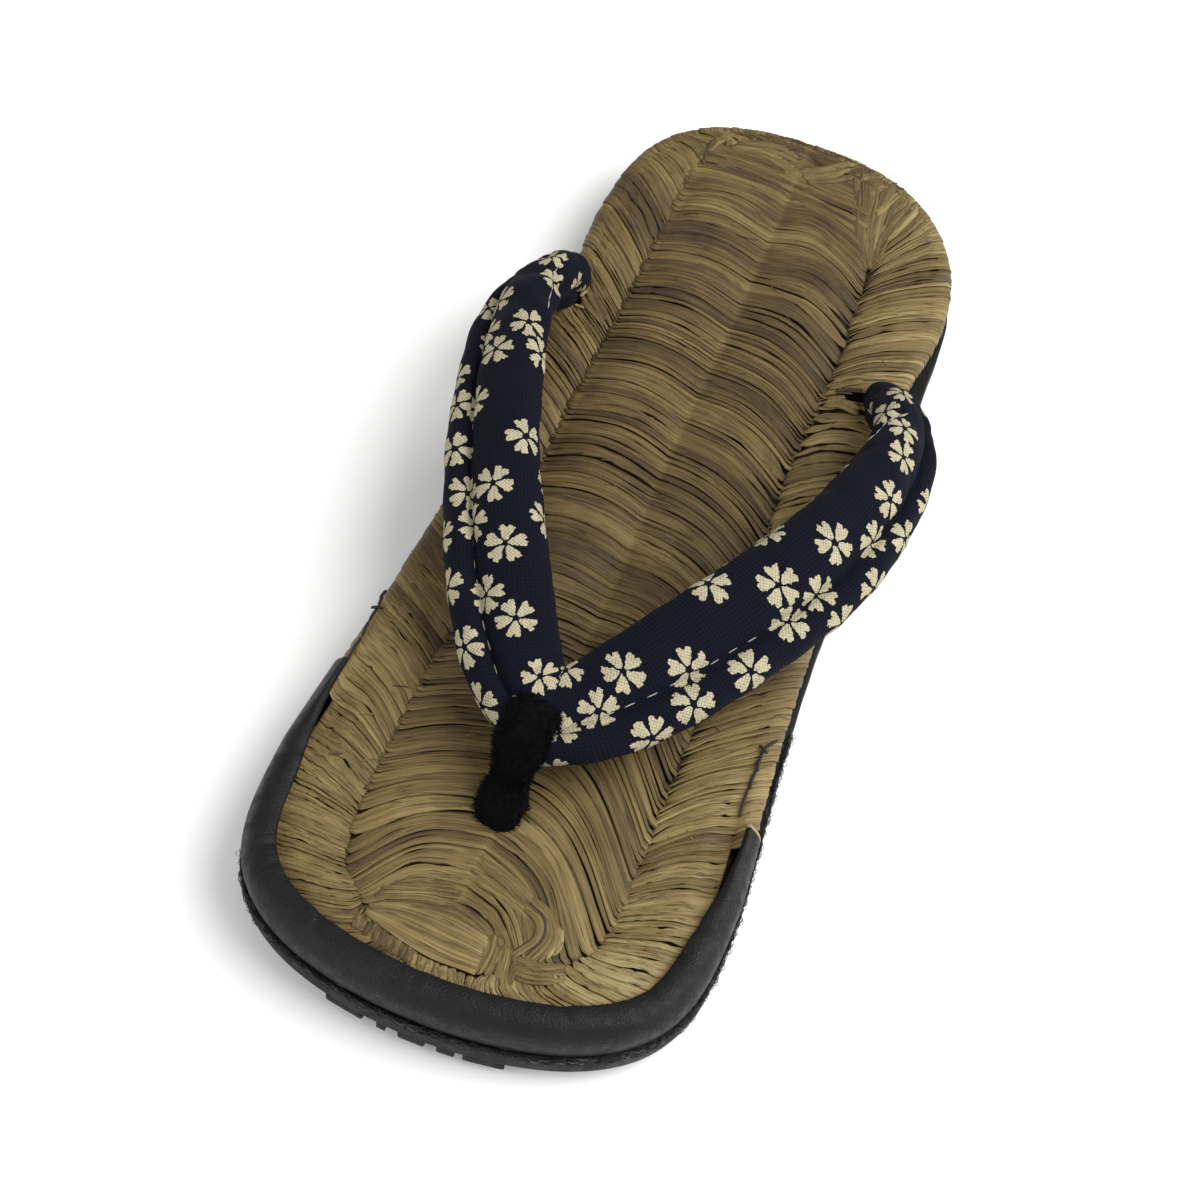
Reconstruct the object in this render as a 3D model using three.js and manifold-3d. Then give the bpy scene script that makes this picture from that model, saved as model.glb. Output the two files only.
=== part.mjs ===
// A zori sandal that fits either foot: a rubber sole cut from tread stock, a thick footbed woven
// from bamboo sheath, a leather toe rim, a padded cloth strap in a V, and the velvet loop that
// ties the strap down between the toes.
// Millimetres. +Y points to the toe, +Z up, and the origin is on the floor below the sole's middle.
import * as THREE from "three";
import { mergeVertices } from "three/addons/utils/BufferGeometryUtils.js";
import Module from "manifold-3d";

const wasm = await Module();
wasm.setup();

// Driving dimensions.
const soleLength = 250;
const halfLength = soleLength / 2;
const gap = 0.3; // left between pieces that touch

const treadHeight = 3;
const slabThickness = 4.8;
const slabBevel = 0.7;
const slabTop = treadHeight + slabThickness;
const footbedThickness = 9.1;
const footbedBottom = slabTop + gap;
const footbedTop = footbedBottom + footbedThickness;

// The underside: flat under the forefoot and the heel, lifted at the toe, the waist and the heel's end.
const forefootFlat = { from: 18, to: 84 };
const heelFlat = { from: -106, to: -62 };
const toeSpring = 2.5;
const archHeight = 2.5;
const heelLift = 1;

// The sole's outline: half its width along the length, and where its two ends begin to round.
const soleStations = [
  { y: -65, half: 43.8 },
  { y: -30, half: 42.5 },
  { y: 5, half: 43.4 },
  { y: 40, half: 45.3 },
  { y: 60, half: 47.2 },
  { y: 78, half: 48.8 },
];
const toeRound = { from: 75, power: 4, root: 2 };
const heelRound = { from: 65, power: 3.5, root: 2.5 };
const stationCount = 40;

// The tread band, which runs a little askew along the sole.
const band = { half: 18, toeX: 1.5, heelX: 13, groove: 2.6, inset: 0.5 };
const coarseNotches = { pitch: 11, mouth: 3.4, root: 2.4, depth: 4.8 };
const fineNotches = { pitch: 5.5, mouth: 2.6, root: 1.8, depth: 2.2 };

// The footbed's side, bottom to top: how far in from its widest, and how high.
const footbedInset = 1.1;
const anchorPull = { y: -56, inset: 2.2, spread: 13 };
const footbedSide = [
  { inset: 1.4, up: 0 },
  { inset: 0, up: 2.6 },
  { inset: 0.1, up: 5.2 },
];
const footbedShoulder = { inset: 0.9, radius: 3.2 };

// The footbed's four crowned lanes, from the middle valley out. Places across are shares of the half
// width, and the outer lanes run over the edge before their crown has come all the way down.
const valleyAt = 0.53;
const lanePlaces = [0, 0.06, 0.18, 0.36, 0.47, valleyAt, 0.59, 0.7, 0.88, 1];
const laneCrown = 1.7;
const laneFlatness = 2.4;
const outerLaneEnds = 0.55;

// The toe rim: it ends at a different place on each side.
const rimEnds = { right: 58, left: 62.5 };
const rimHeight = 9.9;
const rimLip = 7;
const rimLipAtEnds = 3.4;
const rimWidening = 34; // how far along the shoe the lip takes to reach its full width
const rimWall = 2;
const rimStations = 44;
const rimOutside = [
  { inset: 1, up: 0 },
  { inset: 0.3, up: 2 },
  { inset: 0, up: 4.4 },
  { inset: 0.5, up: 7 },
  { inset: 2, up: 9.1 },
  { inset: 4.2, up: rimHeight },
  { inset: 6.3, up: 9.6 },
  { inset: rimLip, up: 8.9 },
];
const rimInside = [
  { inset: 6.5, up: 8.1 },
  { inset: 4.4, up: 7.9 },
  { inset: 2.9, up: 7.1 },
  { inset: 2.1, up: 5.6 },
  { inset: rimWall, up: 3 },
  { inset: 2.6, up: 0 },
];

// The two arms of the strap, from the toe to the holes beside the heel: centre line, size of the
// section, and how far the outer edge leans down, in degrees.
const rightArm = [
  { x: -3, y: 65, z: 27, width: 15, thick: 9.5, lean: 4 },
  { x: 9, y: 54.5, z: 28.5, width: 19.5, thick: 10.5, lean: 8 },
  { x: 20, y: 37, z: 31.5, width: 21.5, thick: 11.5, lean: 13 },
  { x: 29, y: 19, z: 34, width: 20.5, thick: 11.5, lean: 19 },
  { x: 36.3, y: 0, z: 34.5, width: 20, thick: 11.5, lean: 26 },
  { x: 41.8, y: -20, z: 33, width: 19.5, thick: 11, lean: 34 },
  { x: 44.2, y: -37, z: 29.5, width: 18.5, thick: 10.5, lean: 42 },
  { x: 42.8, y: -50, z: 25, width: 15.5, thick: 10, lean: 44 },
  { x: 39.4, y: -58, z: 18.5, width: 11.5, thick: 8.5, lean: 30 },
  { x: 37.2, y: -60.5, z: 11, width: 9, thick: 7.5, lean: 20 },
];
const leftArm = [
  { x: 4, y: 66, z: 26.5, width: 15, thick: 9.5, lean: 4 },
  { x: -8, y: 56.5, z: 28, width: 21.5, thick: 10.5, lean: 8 },
  { x: -19.5, y: 42.5, z: 31, width: 24, thick: 11.5, lean: 13 },
  { x: -30, y: 26.5, z: 33.5, width: 24, thick: 11.5, lean: 18 },
  { x: -39.5, y: 8, z: 34.5, width: 23, thick: 11.5, lean: 26 },
  { x: -45.2, y: -13, z: 33, width: 20.5, thick: 11, lean: 34 },
  { x: -46, y: -30, z: 29.5, width: 18, thick: 10.5, lean: 42 },
  { x: -42.6, y: -44, z: 25, width: 15, thick: 10, lean: 44 },
  { x: -36, y: -52, z: 18.5, width: 11.5, thick: 8.5, lean: 30 },
  { x: -34, y: -54, z: 11, width: 9, thick: 7.5, lean: 20 },
];
const armSections = 26;
const armStep = 0.05; // between the two places that give the direction of an arm, in rows
const holeDepth = 4.5; // the anchor holes go on below the strap's ends, through the footbed

// The strap's section: across from the inner edge to the outer, in shares of the width and the
// thickness. The stitched crease parts a broad inner lobe from a narrow outer one.
const strapSection = [
  { across: -0.5, up: 0 },
  { across: -0.46, up: 0.27 },
  { across: -0.34, up: 0.43 },
  { across: -0.14, up: 0.5 },
  { across: 0.04, up: 0.45 },
  { across: 0.13, up: 0.35, crease: true },
  { across: 0.18, up: 0.2, crease: true },
  { across: 0.23, up: 0.32, crease: true },
  { across: 0.34, up: 0.38 },
  { across: 0.45, up: 0.24 },
  { across: 0.5, up: 0 },
  { across: 0.43, up: -0.3 },
  { across: 0.22, up: -0.46 },
  { across: -0.1, up: -0.5 },
  { across: -0.36, up: -0.41 },
  { across: -0.48, up: -0.22 },
];

// The velvet loop, seen from the side: up out of the footbed, round the strap and back.
const loopProfile = [
  { y: 69, z: footbedBottom },
  { y: 78.2, z: footbedBottom },
  { y: 79.2, z: 17 },
  { y: 78, z: 23 },
  { y: 75.6, z: 29 },
  { y: 71.3, z: 33 },
  { y: 65, z: 34.8 },
  { y: 58.5, z: 34.6 },
  { y: 53.8, z: 32 },
  { y: 52.4, z: 27.5 },
  { y: 54.5, z: 22.5 },
  { y: 59.5, z: 19.8 },
  { y: 64.6, z: 19.2 },
  { y: 68, z: 17 },
];
const loopWidth = 10.6;
const loopBevel = 1.6;
const loopTurn = { x: 0.8, y: 56, degrees: -7 }; // the loop stands a little askew

// Reads a column of a table between its rows, on a smooth curve through them.
function readTable(rows, by, column, at) {
  const last = rows.length - 1;
  if (at <= rows[0][by]) return rows[0][column];
  if (at >= rows[last][by]) return rows[last][column];
  const i = rows.findIndex((row) => row[by] > at) - 1;
  const slope = (k) => {
    const before = rows[Math.max(k - 1, 0)];
    const after = rows[Math.min(k + 1, last)];
    return (after[column] - before[column]) / (after[by] - before[by]);
  };
  const step = rows[i + 1][by] - rows[i][by];
  const t = (at - rows[i][by]) / step;
  const start = (1 + 2 * t) * (1 - t) ** 2 * rows[i][column] + t * (1 - t) ** 2 * step * slope(i);
  const end = t * t * (3 - 2 * t) * rows[i + 1][column] - t * t * (1 - t) * step * slope(i + 1);
  return start + end;
}

function solidOf(geometry) {
  const bare = geometry.clone();
  bare.deleteAttribute("normal");
  bare.deleteAttribute("uv");
  const merged = bare.index ? bare : mergeVertices(bare, 1e-4);
  const mesh = new wasm.Mesh({
    numProp: 3,
    vertProperties: new Float32Array(merged.attributes.position.array),
    triVerts: new Uint32Array(merged.index.array),
  });
  return new wasm.Manifold(mesh);
}

function geometryOf(solid) {
  const mesh = solid.getMesh();
  const geometry = new THREE.BufferGeometry();
  geometry.setAttribute("position", new THREE.BufferAttribute(mesh.vertProperties, 3));
  geometry.setIndex(new THREE.BufferAttribute(mesh.triVerts, 1));
  return geometry;
}

// Triangles over a flat ring of points, wound the way the ring runs.
function capFaces(ring) {
  const area = new THREE.Vector3();
  ring.forEach((point, i) => area.add(point.clone().cross(ring[(i + 1) % ring.length])));
  const size = { x: Math.abs(area.x), y: Math.abs(area.y), z: Math.abs(area.z) };
  const largest = Object.keys(size).reduce((a, b) => (size[b] > size[a] ? b : a));
  const [u, v] = { x: ["y", "z"], y: ["z", "x"], z: ["x", "y"] }[largest];
  const flat = ring.map((point) => new THREE.Vector2(point[u], point[v]));
  const runs = Math.sign(THREE.ShapeUtils.area(flat));
  return THREE.ShapeUtils.triangulateShape(flat, []).map(([a, b, c]) => {
    const turns = Math.sign(THREE.ShapeUtils.area([flat[a], flat[b], flat[c]]));
    return turns === runs ? [a, b, c] : [a, c, b];
  });
}

// Skins a row of rings that all have the same number of points, closes both ends, and turns the
// faces outward.
function loft(rings) {
  const around = rings[0].length;
  const faces = [];
  for (let i = 0; i + 1 < rings.length; i++) {
    for (let j = 0; j < around; j++) {
      const k = (j + 1) % around;
      const near = i * around;
      const far = near + around;
      faces.push([near + j, near + k, far + k], [near + j, far + k, far + j]);
    }
  }
  const lastRing = (rings.length - 1) * around;
  for (const [a, b, c] of capFaces(rings[0])) faces.push([a, c, b]);
  for (const face of capFaces(rings.at(-1))) faces.push(face.map((n) => n + lastRing));
  const points = rings.flat();
  const volume = faces.reduce(
    (sum, [a, b, c]) => sum + points[a].dot(points[b].clone().cross(points[c])),
    0,
  );
  if (volume < 0) faces.forEach((face) => face.reverse());
  const geometry = new THREE.BufferGeometry().setFromPoints(points);
  geometry.setIndex(faces.flat());
  return geometry;
}

const shareBetween = (from, to, at) => THREE.MathUtils.clamp((at - from) / (to - from), 0, 1);

// How far the underside stands off the floor.
function rise(y) {
  const toe = shareBetween(forefootFlat.to, halfLength, y) ** 2 * toeSpring;
  const heel = shareBetween(heelFlat.from, -halfLength, y) ** 2 * heelLift;
  const waist = Math.sin(Math.PI * shareBetween(heelFlat.to, forefootFlat.from, y)) ** 2;
  return toe + heel + archHeight * waist;
}

// Half the sole's width: the stations' curve, rounded off at both ends.
function halfWidth(y) {
  const toe = shareBetween(toeRound.from, halfLength, y);
  const heel = shareBetween(-heelRound.from, -halfLength, y);
  const toeShare = (1 - toe ** toeRound.power) ** (1 / toeRound.root);
  const heelShare = (1 - heel ** heelRound.power) ** (1 / heelRound.root);
  return readTable(soleStations, "y", "half", y) * toeShare * heelShare;
}

// Places along the length, closer together where the ends round.
function lengthStations() {
  return Array.from({ length: stationCount }, (_, i) => {
    return -halfLength * Math.cos((Math.PI * (i + 0.5)) / stationCount);
  });
}

// Bends a flat geometry to the underside's curve.
function bendToSole(geometry) {
  const position = geometry.attributes.position;
  for (let i = 0; i < position.count; i++) {
    position.setZ(i, position.getZ(i) + rise(position.getY(i)));
  }
  return geometry;
}

function slab() {
  const rings = lengthStations().map((y) => {
    const half = halfWidth(y);
    const bottom = treadHeight + rise(y);
    const top = slabTop + rise(y);
    const rightSide = [
      [half - slabBevel, bottom],
      [half, bottom + slabBevel],
      [half, top - slabBevel],
      [half - slabBevel, top],
    ];
    const leftSide = rightSide.map(([x, z]) => [-x, z]).reverse();
    return [...rightSide, ...leftSide].map(([x, z]) => new THREE.Vector3(x, y, z));
  });
  return solidOf(loft(rings));
}

// One rib of the tread band, in the band's own frame: its inner side is the wall of the straight
// centre groove, and its outer side is notched.
function rib(side, bite, { pitch, mouth, root, depth }) {
  const reach = halfLength + 2 * pitch;
  const count = Math.round((2 * reach) / pitch);
  const rings = [];
  for (let i = 0; i < count; i++) {
    const y = i * pitch - reach;
    const corners = [
      [-mouth / 2, 0],
      [-root / 2, depth],
      [root / 2, depth],
      [mouth / 2, 0],
    ];
    for (const [along, cut] of corners) {
      const outer = band.half - cut;
      const inner = band.groove / 2;
      const section = [
        [inner, 0],
        [outer, 0],
        [outer, treadHeight + bite],
        [inner, treadHeight + bite],
      ];
      rings.push(section.map(([x, z]) => new THREE.Vector3(side * x, y + along, z)));
    }
  }
  return loft(rings);
}

// The whole sole's outline as an upright block, drawn in a little so that the band stops inside it.
function outlineBlock(inset, from, to) {
  const right = lengthStations().map((y) => new THREE.Vector2(halfWidth(y) - inset, y));
  const left = right.map(({ x, y }) => new THREE.Vector2(-x, y)).reverse();
  const shape = new THREE.Shape([...right, ...left]);
  const geometry = new THREE.ExtrudeGeometry(shape, { depth: to - from, bevelEnabled: false });
  return geometry.translate(0, 0, from);
}

function treadBand() {
  const bite = 1; // how far the band reaches up into the slab it is joined to
  const turn = Math.atan2(band.heelX - band.toeX, soleLength);
  const place = new THREE.Matrix4().makeRotationZ(turn);
  place.setPosition((band.toeX + band.heelX) / 2, 0, 0);
  const outline = solidOf(outlineBlock(band.inset, -bite, treadHeight + 2 * bite));
  const ribs = [rib(1, bite, coarseNotches), rib(-1, bite, fineNotches)];
  return ribs.map((geometry) => {
    const cut = solidOf(geometry.applyMatrix4(place)).intersect(outline);
    return solidOf(bendToSole(geometryOf(cut)));
  });
}

function makeOutsole() {
  return treadBand().reduce((sole, rib) => sole.add(rib), slab());
}

// Half the footbed's width: a little inside the sole, and pulled in where the strap's ends go down.
function footbedHalf(y) {
  const pull = Math.exp(-(((y - anchorPull.y) / anchorPull.spread) ** 2)) * anchorPull.inset;
  const inset = footbedInset * shareBetween(-halfLength, -heelRound.from, y);
  return halfWidth(y) - inset - pull;
}

// How high a lane stands at a place across the footbed: 0 in a valley and 1 on its crown.
function laneShare(across) {
  const place = Math.abs(across);
  const outer = (outerLaneEnds * (place - valleyAt)) / (1 - valleyAt);
  const lane = place < valleyAt ? place / valleyAt : outer;
  return 1 - Math.abs(2 * lane - 1) ** laneFlatness;
}

// How far the top drops within an edge's rounding, at a distance from the edge.
function edgeDrop(distance) {
  const { radius } = footbedShoulder;
  const left = THREE.MathUtils.clamp(radius - distance, 0, radius);
  return radius - Math.sqrt(radius ** 2 - left ** 2);
}

function footbedBody() {
  const across = [...lanePlaces.toReversed(), ...lanePlaces.slice(1).map((share) => -share)];
  const rings = lengthStations().map((y) => {
    const half = footbedHalf(y);
    const bottom = footbedBottom + rise(y);
    const rightSide = footbedSide.map(({ inset, up }) => [half - inset, bottom + up]);
    const top = across.map((share) => {
      const x = share * (half - footbedShoulder.inset);
      const inFromEdge = Math.min(half - Math.abs(x), halfLength - Math.abs(y));
      const lane = laneCrown * (laneShare(share) - 1);
      return [x, bottom + footbedThickness + lane - edgeDrop(inFromEdge)];
    });
    const leftSide = rightSide.map(([x, z]) => [-x, z]).reverse();
    return [...rightSide, ...top, ...leftSide].map(([x, z]) => new THREE.Vector3(x, y, z));
  });
  return solidOf(loft(rings));
}

// Sweeps a section round the toe's outline. Each of the section's points has an inset from the outline,
// which narrows with the lip toward the ends, any clearance beyond that, and a height above the slab.
// The ends can be run on by a little.
function sweepRoundToe(section, runOn) {
  const turnStep = 0.004; // between the places that give the outline's direction
  const start = rimEnds.right - runOn;
  const reach = halfLength - start;
  const lastTurn = Math.PI - Math.asin((rimEnds.left - runOn - start) / reach);
  const edgePoint = (turn) => {
    const y = start + reach * Math.sin(turn);
    return new THREE.Vector2(Math.sign(Math.cos(turn)) * halfWidth(y), y);
  };
  const rings = Array.from({ length: rimStations + 1 }, (_, i) => {
    const turn = (lastTurn * i) / rimStations;
    const edge = edgePoint(turn);
    const along = edgePoint(turn + turnStep).sub(edgePoint(turn - turnStep)).normalize();
    const end = edge.x > 0 ? rimEnds.right : rimEnds.left;
    const widening = THREE.MathUtils.smoothstep(edge.y, end, end + rimWidening);
    const lip = (THREE.MathUtils.lerp(rimLipAtEnds, rimLip, widening) - rimWall) / (rimLip - rimWall);
    return section.map(({ inset, up, clear = 0 }) => {
      const inward = (inset < rimWall ? inset : rimWall + (inset - rimWall) * lip) + clear;
      const x = edge.x - along.y * inward;
      const y = edge.y + along.x * inward;
      return new THREE.Vector3(x, y, footbedBottom + up + rise(edge.y));
    });
  });
  return solidOf(loft(rings));
}

const makeToeRim = () => sweepRoundToe([...rimOutside, ...rimInside], 0);

// What the footbed gives up so that the rim sits round it with a gap.
function rimRoom() {
  const far = 5;
  const inside = rimInside.map(({ inset, up }) => ({ inset, up: up - gap, clear: gap }));
  const beyond = [
    { inset: rimInside.at(-1).inset, up: -far, clear: gap },
    { inset: -far, up: -far },
    { inset: -far, up: rimHeight + far },
    { inset: rimLip, up: rimHeight + far, clear: gap },
    { inset: rimLip, up: inside[0].up, clear: gap },
  ];
  return sweepRoundToe([...inside, ...beyond], gap);
}

// One arm of the strap. The room that others leave it is the same arm grown on every side, with no
// crease and with its end run on through the footbed.
function arm(rows, side, grown) {
  const table = rows.map((row, index) => ({ ...row, index }));
  const read = (column, at) => readTable(table, "index", column, at);
  const centre = (at) => new THREE.Vector3(read("x", at), read("y", at), read("z", at));
  const up = new THREE.Vector3(0, 0, 1);
  const last = rows.length - 1;
  const section = strapSection.filter(({ crease }) => !(crease && grown > 0));
  const alongAt = (at) => {
    const before = centre(Math.max(at - armStep, 0));
    return centre(Math.min(at + armStep, last)).sub(before).normalize();
  };
  const rings = Array.from({ length: armSections + 1 }, (_, i) => {
    const at = (last * i) / armSections;
    const along = alongAt(at);
    const level = up.clone().cross(along).normalize().multiplyScalar(side);
    const face = up.clone().addScaledVector(along, -up.dot(along)).normalize();
    const lean = THREE.MathUtils.degToRad(read("lean", at));
    const outward = level.clone().multiplyScalar(Math.cos(lean)).addScaledVector(face, -Math.sin(lean));
    const normal = face.multiplyScalar(Math.cos(lean)).addScaledVector(level, Math.sin(lean));
    return section.map((point) => {
      return centre(at)
        .addScaledVector(outward, point.across * (read("width", at) + 2 * grown))
        .addScaledVector(normal, point.up * (read("thick", at) + 2 * grown));
    });
  });
  if (grown > 0) {
    const through = alongAt(last).multiplyScalar(holeDepth);
    rings.push(rings.at(-1).map((point) => point.clone().add(through)));
  }
  return solidOf(loft(rings));
}

const makeStraps = (grown) => arm(rightArm, 1, grown).add(arm(leftArm, -1, grown));

// The velvet loop's outer form, before the strap's passage is cut through it.
function loopForm(grown) {
  const shape = new THREE.Shape(loopProfile.map(({ y, z }) => new THREE.Vector2(y, z)));
  const bevelThickness = loopBevel;
  const depth = loopWidth - 2 * bevelThickness + 2 * grown;
  const geometry = new THREE.ExtrudeGeometry(shape, {
    depth,
    bevelThickness,
    bevelSize: loopBevel,
    bevelOffset: grown - loopBevel,
    bevelSegments: 2,
  });
  // The profile's y and z become the shoe's, the extrusion runs across it, and the whole is turned.
  const across = new THREE.Matrix4().makeBasis(
    new THREE.Vector3(0, 1, 0),
    new THREE.Vector3(0, 0, 1),
    new THREE.Vector3(1, 0, 0),
  );
  geometry.translate(-loopTurn.y, 0, -depth / 2).applyMatrix4(across);
  geometry.rotateZ(THREE.MathUtils.degToRad(loopTurn.degrees)).translate(loopTurn.x, loopTurn.y, 0);
  return solidOf(geometry);
}

function finished(name, solid, material) {
  const mesh = new THREE.Mesh(geometryOf(solid), new THREE.MeshStandardMaterial(material));
  mesh.name = name;
  return mesh;
}

const strapRoom = makeStraps(gap);
const footbed = footbedBody().subtract(rimRoom()).subtract(strapRoom).subtract(loopForm(gap));
const frontLoop = loopForm(0).subtract(strapRoom);

const zori = new THREE.Group();
zori.add(
  finished("outsole", makeOutsole(), { color: 0x1b1b1c, roughness: 0.7 }),
  finished("woven_footbed", footbed, { color: 0x8c7855, roughness: 0.75 }),
  finished("toe_rim", makeToeRim(), { color: 0x202022, roughness: 0.45 }),
  finished("straps", makeStraps(0), { color: 0x20203a, roughness: 0.85 }),
  finished("front_loop", frontLoop, { color: 0x0c0c0e, roughness: 1 }),
);

export default zori;
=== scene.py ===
import math

import bmesh
import bpy
import numpy as np
from mathutils import Matrix, Vector


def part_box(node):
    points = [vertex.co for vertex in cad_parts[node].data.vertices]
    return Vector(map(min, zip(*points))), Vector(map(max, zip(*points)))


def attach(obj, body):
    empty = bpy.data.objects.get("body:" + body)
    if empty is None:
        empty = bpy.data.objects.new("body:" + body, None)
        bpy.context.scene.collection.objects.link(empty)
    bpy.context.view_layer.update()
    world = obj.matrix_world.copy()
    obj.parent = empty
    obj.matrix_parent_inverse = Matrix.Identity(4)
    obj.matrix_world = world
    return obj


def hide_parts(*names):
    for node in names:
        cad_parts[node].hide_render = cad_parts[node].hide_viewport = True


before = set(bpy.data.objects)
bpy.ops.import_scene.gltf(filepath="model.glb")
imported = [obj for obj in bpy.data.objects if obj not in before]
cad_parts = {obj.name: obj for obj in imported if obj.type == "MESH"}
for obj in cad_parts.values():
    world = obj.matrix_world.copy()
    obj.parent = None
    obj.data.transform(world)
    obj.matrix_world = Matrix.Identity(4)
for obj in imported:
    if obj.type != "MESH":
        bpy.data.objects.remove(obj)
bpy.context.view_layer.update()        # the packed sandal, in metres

mm = 0.001               # layout below is in millimetres, +Y to the toe; place() makes it metres


# Shared helpers: tables, bars, meshes and materials.

def readTable(rows, by, name, at):
    places = np.array([row[by] for row in rows], float)
    values = np.array([row[name] for row in rows], float)
    last = len(rows) - 1
    before = np.maximum(np.arange(last + 1) - 1, 0)
    after = np.minimum(np.arange(last + 1) + 1, last)
    slopes = (values[after] - values[before]) / (places[after] - places[before])
    i = np.clip(np.searchsorted(places, at, side="right") - 1, 0, last - 1)
    step = places[i + 1] - places[i]
    t = np.clip((at - places[i]) / step, 0, 1)
    start = (1 + 2 * t) * (1 - t) ** 2 * values[i] + t * (1 - t) ** 2 * step * slopes[i]
    end = t * t * (3 - 2 * t) * values[i + 1] - t * t * (1 - t) * step * slopes[i + 1]
    return start + end


def share(low, high, at):
    return np.clip((at - low) / (high - low), 0, 1)


def smooth(low, high, at):
    t = share(low, high, at)
    return t * t * (3 - 2 * t)


def wander(at, seed, waves=4):      # a smooth random line between about -1 and 1
    own = np.random.default_rng(seed)
    total = 0
    for k in range(1, waves + 1):
        total = total + own.normal() / k * np.sin(k * at + own.uniform(0, 2 * np.pi))
    return total / 1.6


def squared(value, power):          # a cosine or sine made squarer by a power under 1
    return np.sign(value) * np.abs(value) ** power


def roundedEnds(t, power, least):   # 1 along a bar, drawn in at both ends
    return np.sqrt(np.clip(1 - (2 * t - 1) ** power, least, 1))


def bar(around, along):             # a round bar of unit radius and length, to be bent to shape
    bm = bmesh.new()
    bmesh.ops.create_cone(bm, cap_ends=True, segments=around, radius1=1, radius2=1, depth=1)
    sides = [edge for edge in bm.edges if abs(edge.verts[0].co.z - edge.verts[1].co.z) > 0.5]
    bmesh.ops.subdivide_edges(bm, edges=sides, cuts=along - 1, use_grid_fill=True)
    return bm


def copies(bm, count):              # the same shape many times in one mesh
    one = bpy.data.meshes.new("template")
    bm.to_mesh(one)
    many = bmesh.new()
    for _ in range(count):
        many.from_mesh(one)
    bpy.data.meshes.remove(one)
    bm.free()
    return many


def coordinates(mesh):
    flat = np.zeros(len(mesh.vertices) * 3)
    mesh.vertices.foreach_get("co", flat)
    return flat.reshape(-1, 3)


def copyOf(points, count):          # which of the copies each point belongs to
    return np.arange(len(points)) // (len(points) // count)


def softCube(offset, segments):     # a unit cube with its edges taken off
    bm = bmesh.new()
    bmesh.ops.create_cube(bm, size=1)
    bmesh.ops.bevel(
        bm, geom=bm.edges, offset=offset, segments=segments, profile=0.5, affect="EDGES", material=-1
    )
    return bm


def asMesh(name, bm):
    mesh = bpy.data.meshes.new(name)
    bm.to_mesh(mesh)
    bm.free()
    return mesh


def place(mesh, points):            # moves a mesh's points to places given in millimetres
    mesh.vertices.foreach_set("co", (np.asarray(points) * mm).ravel())
    mesh.update()


def barTurns(mesh):                 # where each point of a bar is: along it, and round it
    flat = coordinates(mesh)
    return flat[:, 2] + 0.5, np.arctan2(flat[:, 1], flat[:, 0])


def storeUv(mesh, name, perCorner):
    layer = mesh.uv_layers.new(name=name)
    layer.data.foreach_set("uv", np.asarray(perCorner, np.float32).ravel())


def cornerPoints(mesh):
    index = np.zeros(len(mesh.loops), int)
    mesh.loops.foreach_get("vertex_index", index)
    return index


def storeValue(mesh, name, values):
    layer = mesh.attributes.new(name, "FLOAT", "POINT")
    layer.data.foreach_set("value", np.asarray(values, np.float32))


def outwardFaces(mesh):
    bm = bmesh.new()
    bm.from_mesh(mesh)
    bmesh.ops.recalc_face_normals(bm, faces=bm.faces)
    bm.to_mesh(mesh)
    bm.free()


def piece(name, mesh, materials, stands=()):
    outwardFaces(mesh)
    for material in materials:
        mesh.materials.append(material)
    for face in mesh.polygons:
        face.use_smooth = True
    made = bpy.data.objects.new(name, mesh)
    bpy.context.scene.collection.objects.link(made)
    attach(made, "root")
    if stands:
        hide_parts(*stands)
    return made


def newMaterial(name, **settings):
    material = bpy.data.materials.new(name)
    material.use_nodes = True
    shader = material.node_tree.nodes["Principled BSDF"]
    for socket, value in settings.items():
        shader.inputs[socket].default_value = value
    return material


def join(material, kind, inputs=None, **settings):
    made = material.node_tree.nodes.new(kind)
    for name, value in settings.items():
        setattr(made, name, value)
    for name, value in (inputs or {}).items():
        if isinstance(value, bpy.types.NodeSocket):
            material.node_tree.links.new(value, made.inputs[name])
        else:
            made.inputs[name].default_value = value
    return made


def calc(material, operation, *values):
    inputs = dict(enumerate(values))
    return join(material, "ShaderNodeMath", inputs, operation=operation).outputs[0]


def swing(material, value, amount):     # a noise's swing about its middle
    return calc(material, "MULTIPLY", calc(material, "SUBTRACT", value, 0.5), amount)


def toShader(material, **sockets):
    shader = material.node_tree.nodes["Principled BSDF"]
    for name, value in sockets.items():
        material.node_tree.links.new(value, shader.inputs[name.replace("_", " ")])


def ramp(material, factor, stops):
    made = join(material, "ShaderNodeValToRGB", {"Fac": factor})
    elements = made.color_ramp.elements
    while len(elements) < len(stops):
        elements.new(0.5)
    for element, (position, colour) in zip(elements, stops):
        element.position = position
        element.color = (*colour, 1)
    return made.outputs["Color"]


def noise(material, vector, scale, detail=3, roughness=0.5):
    inputs = {"Vector": vector, "Scale": scale, "Detail": detail, "Roughness": roughness}
    return join(material, "ShaderNodeTexNoise", inputs).outputs["Fac"]


def stretched(material, vector, scale, rotation=0):
    inputs = {"Vector": vector, "Scale": scale, "Rotation": (0, 0, rotation)}
    return join(material, "ShaderNodeMapping", inputs).outputs["Vector"]


def uvOf(material, name):
    return join(material, "ShaderNodeUVMap", uv_map=name).outputs["UV"]


def objectPlace(material):
    return join(material, "ShaderNodeTexCoord").outputs["Object"]


def bump(material, height, distance, strength=1, under=None):
    inputs = {"Height": height, "Distance": distance, "Strength": strength}
    if under is not None:
        inputs["Normal"] = under
    return join(material, "ShaderNodeBump", inputs).outputs["Normal"]


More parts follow.
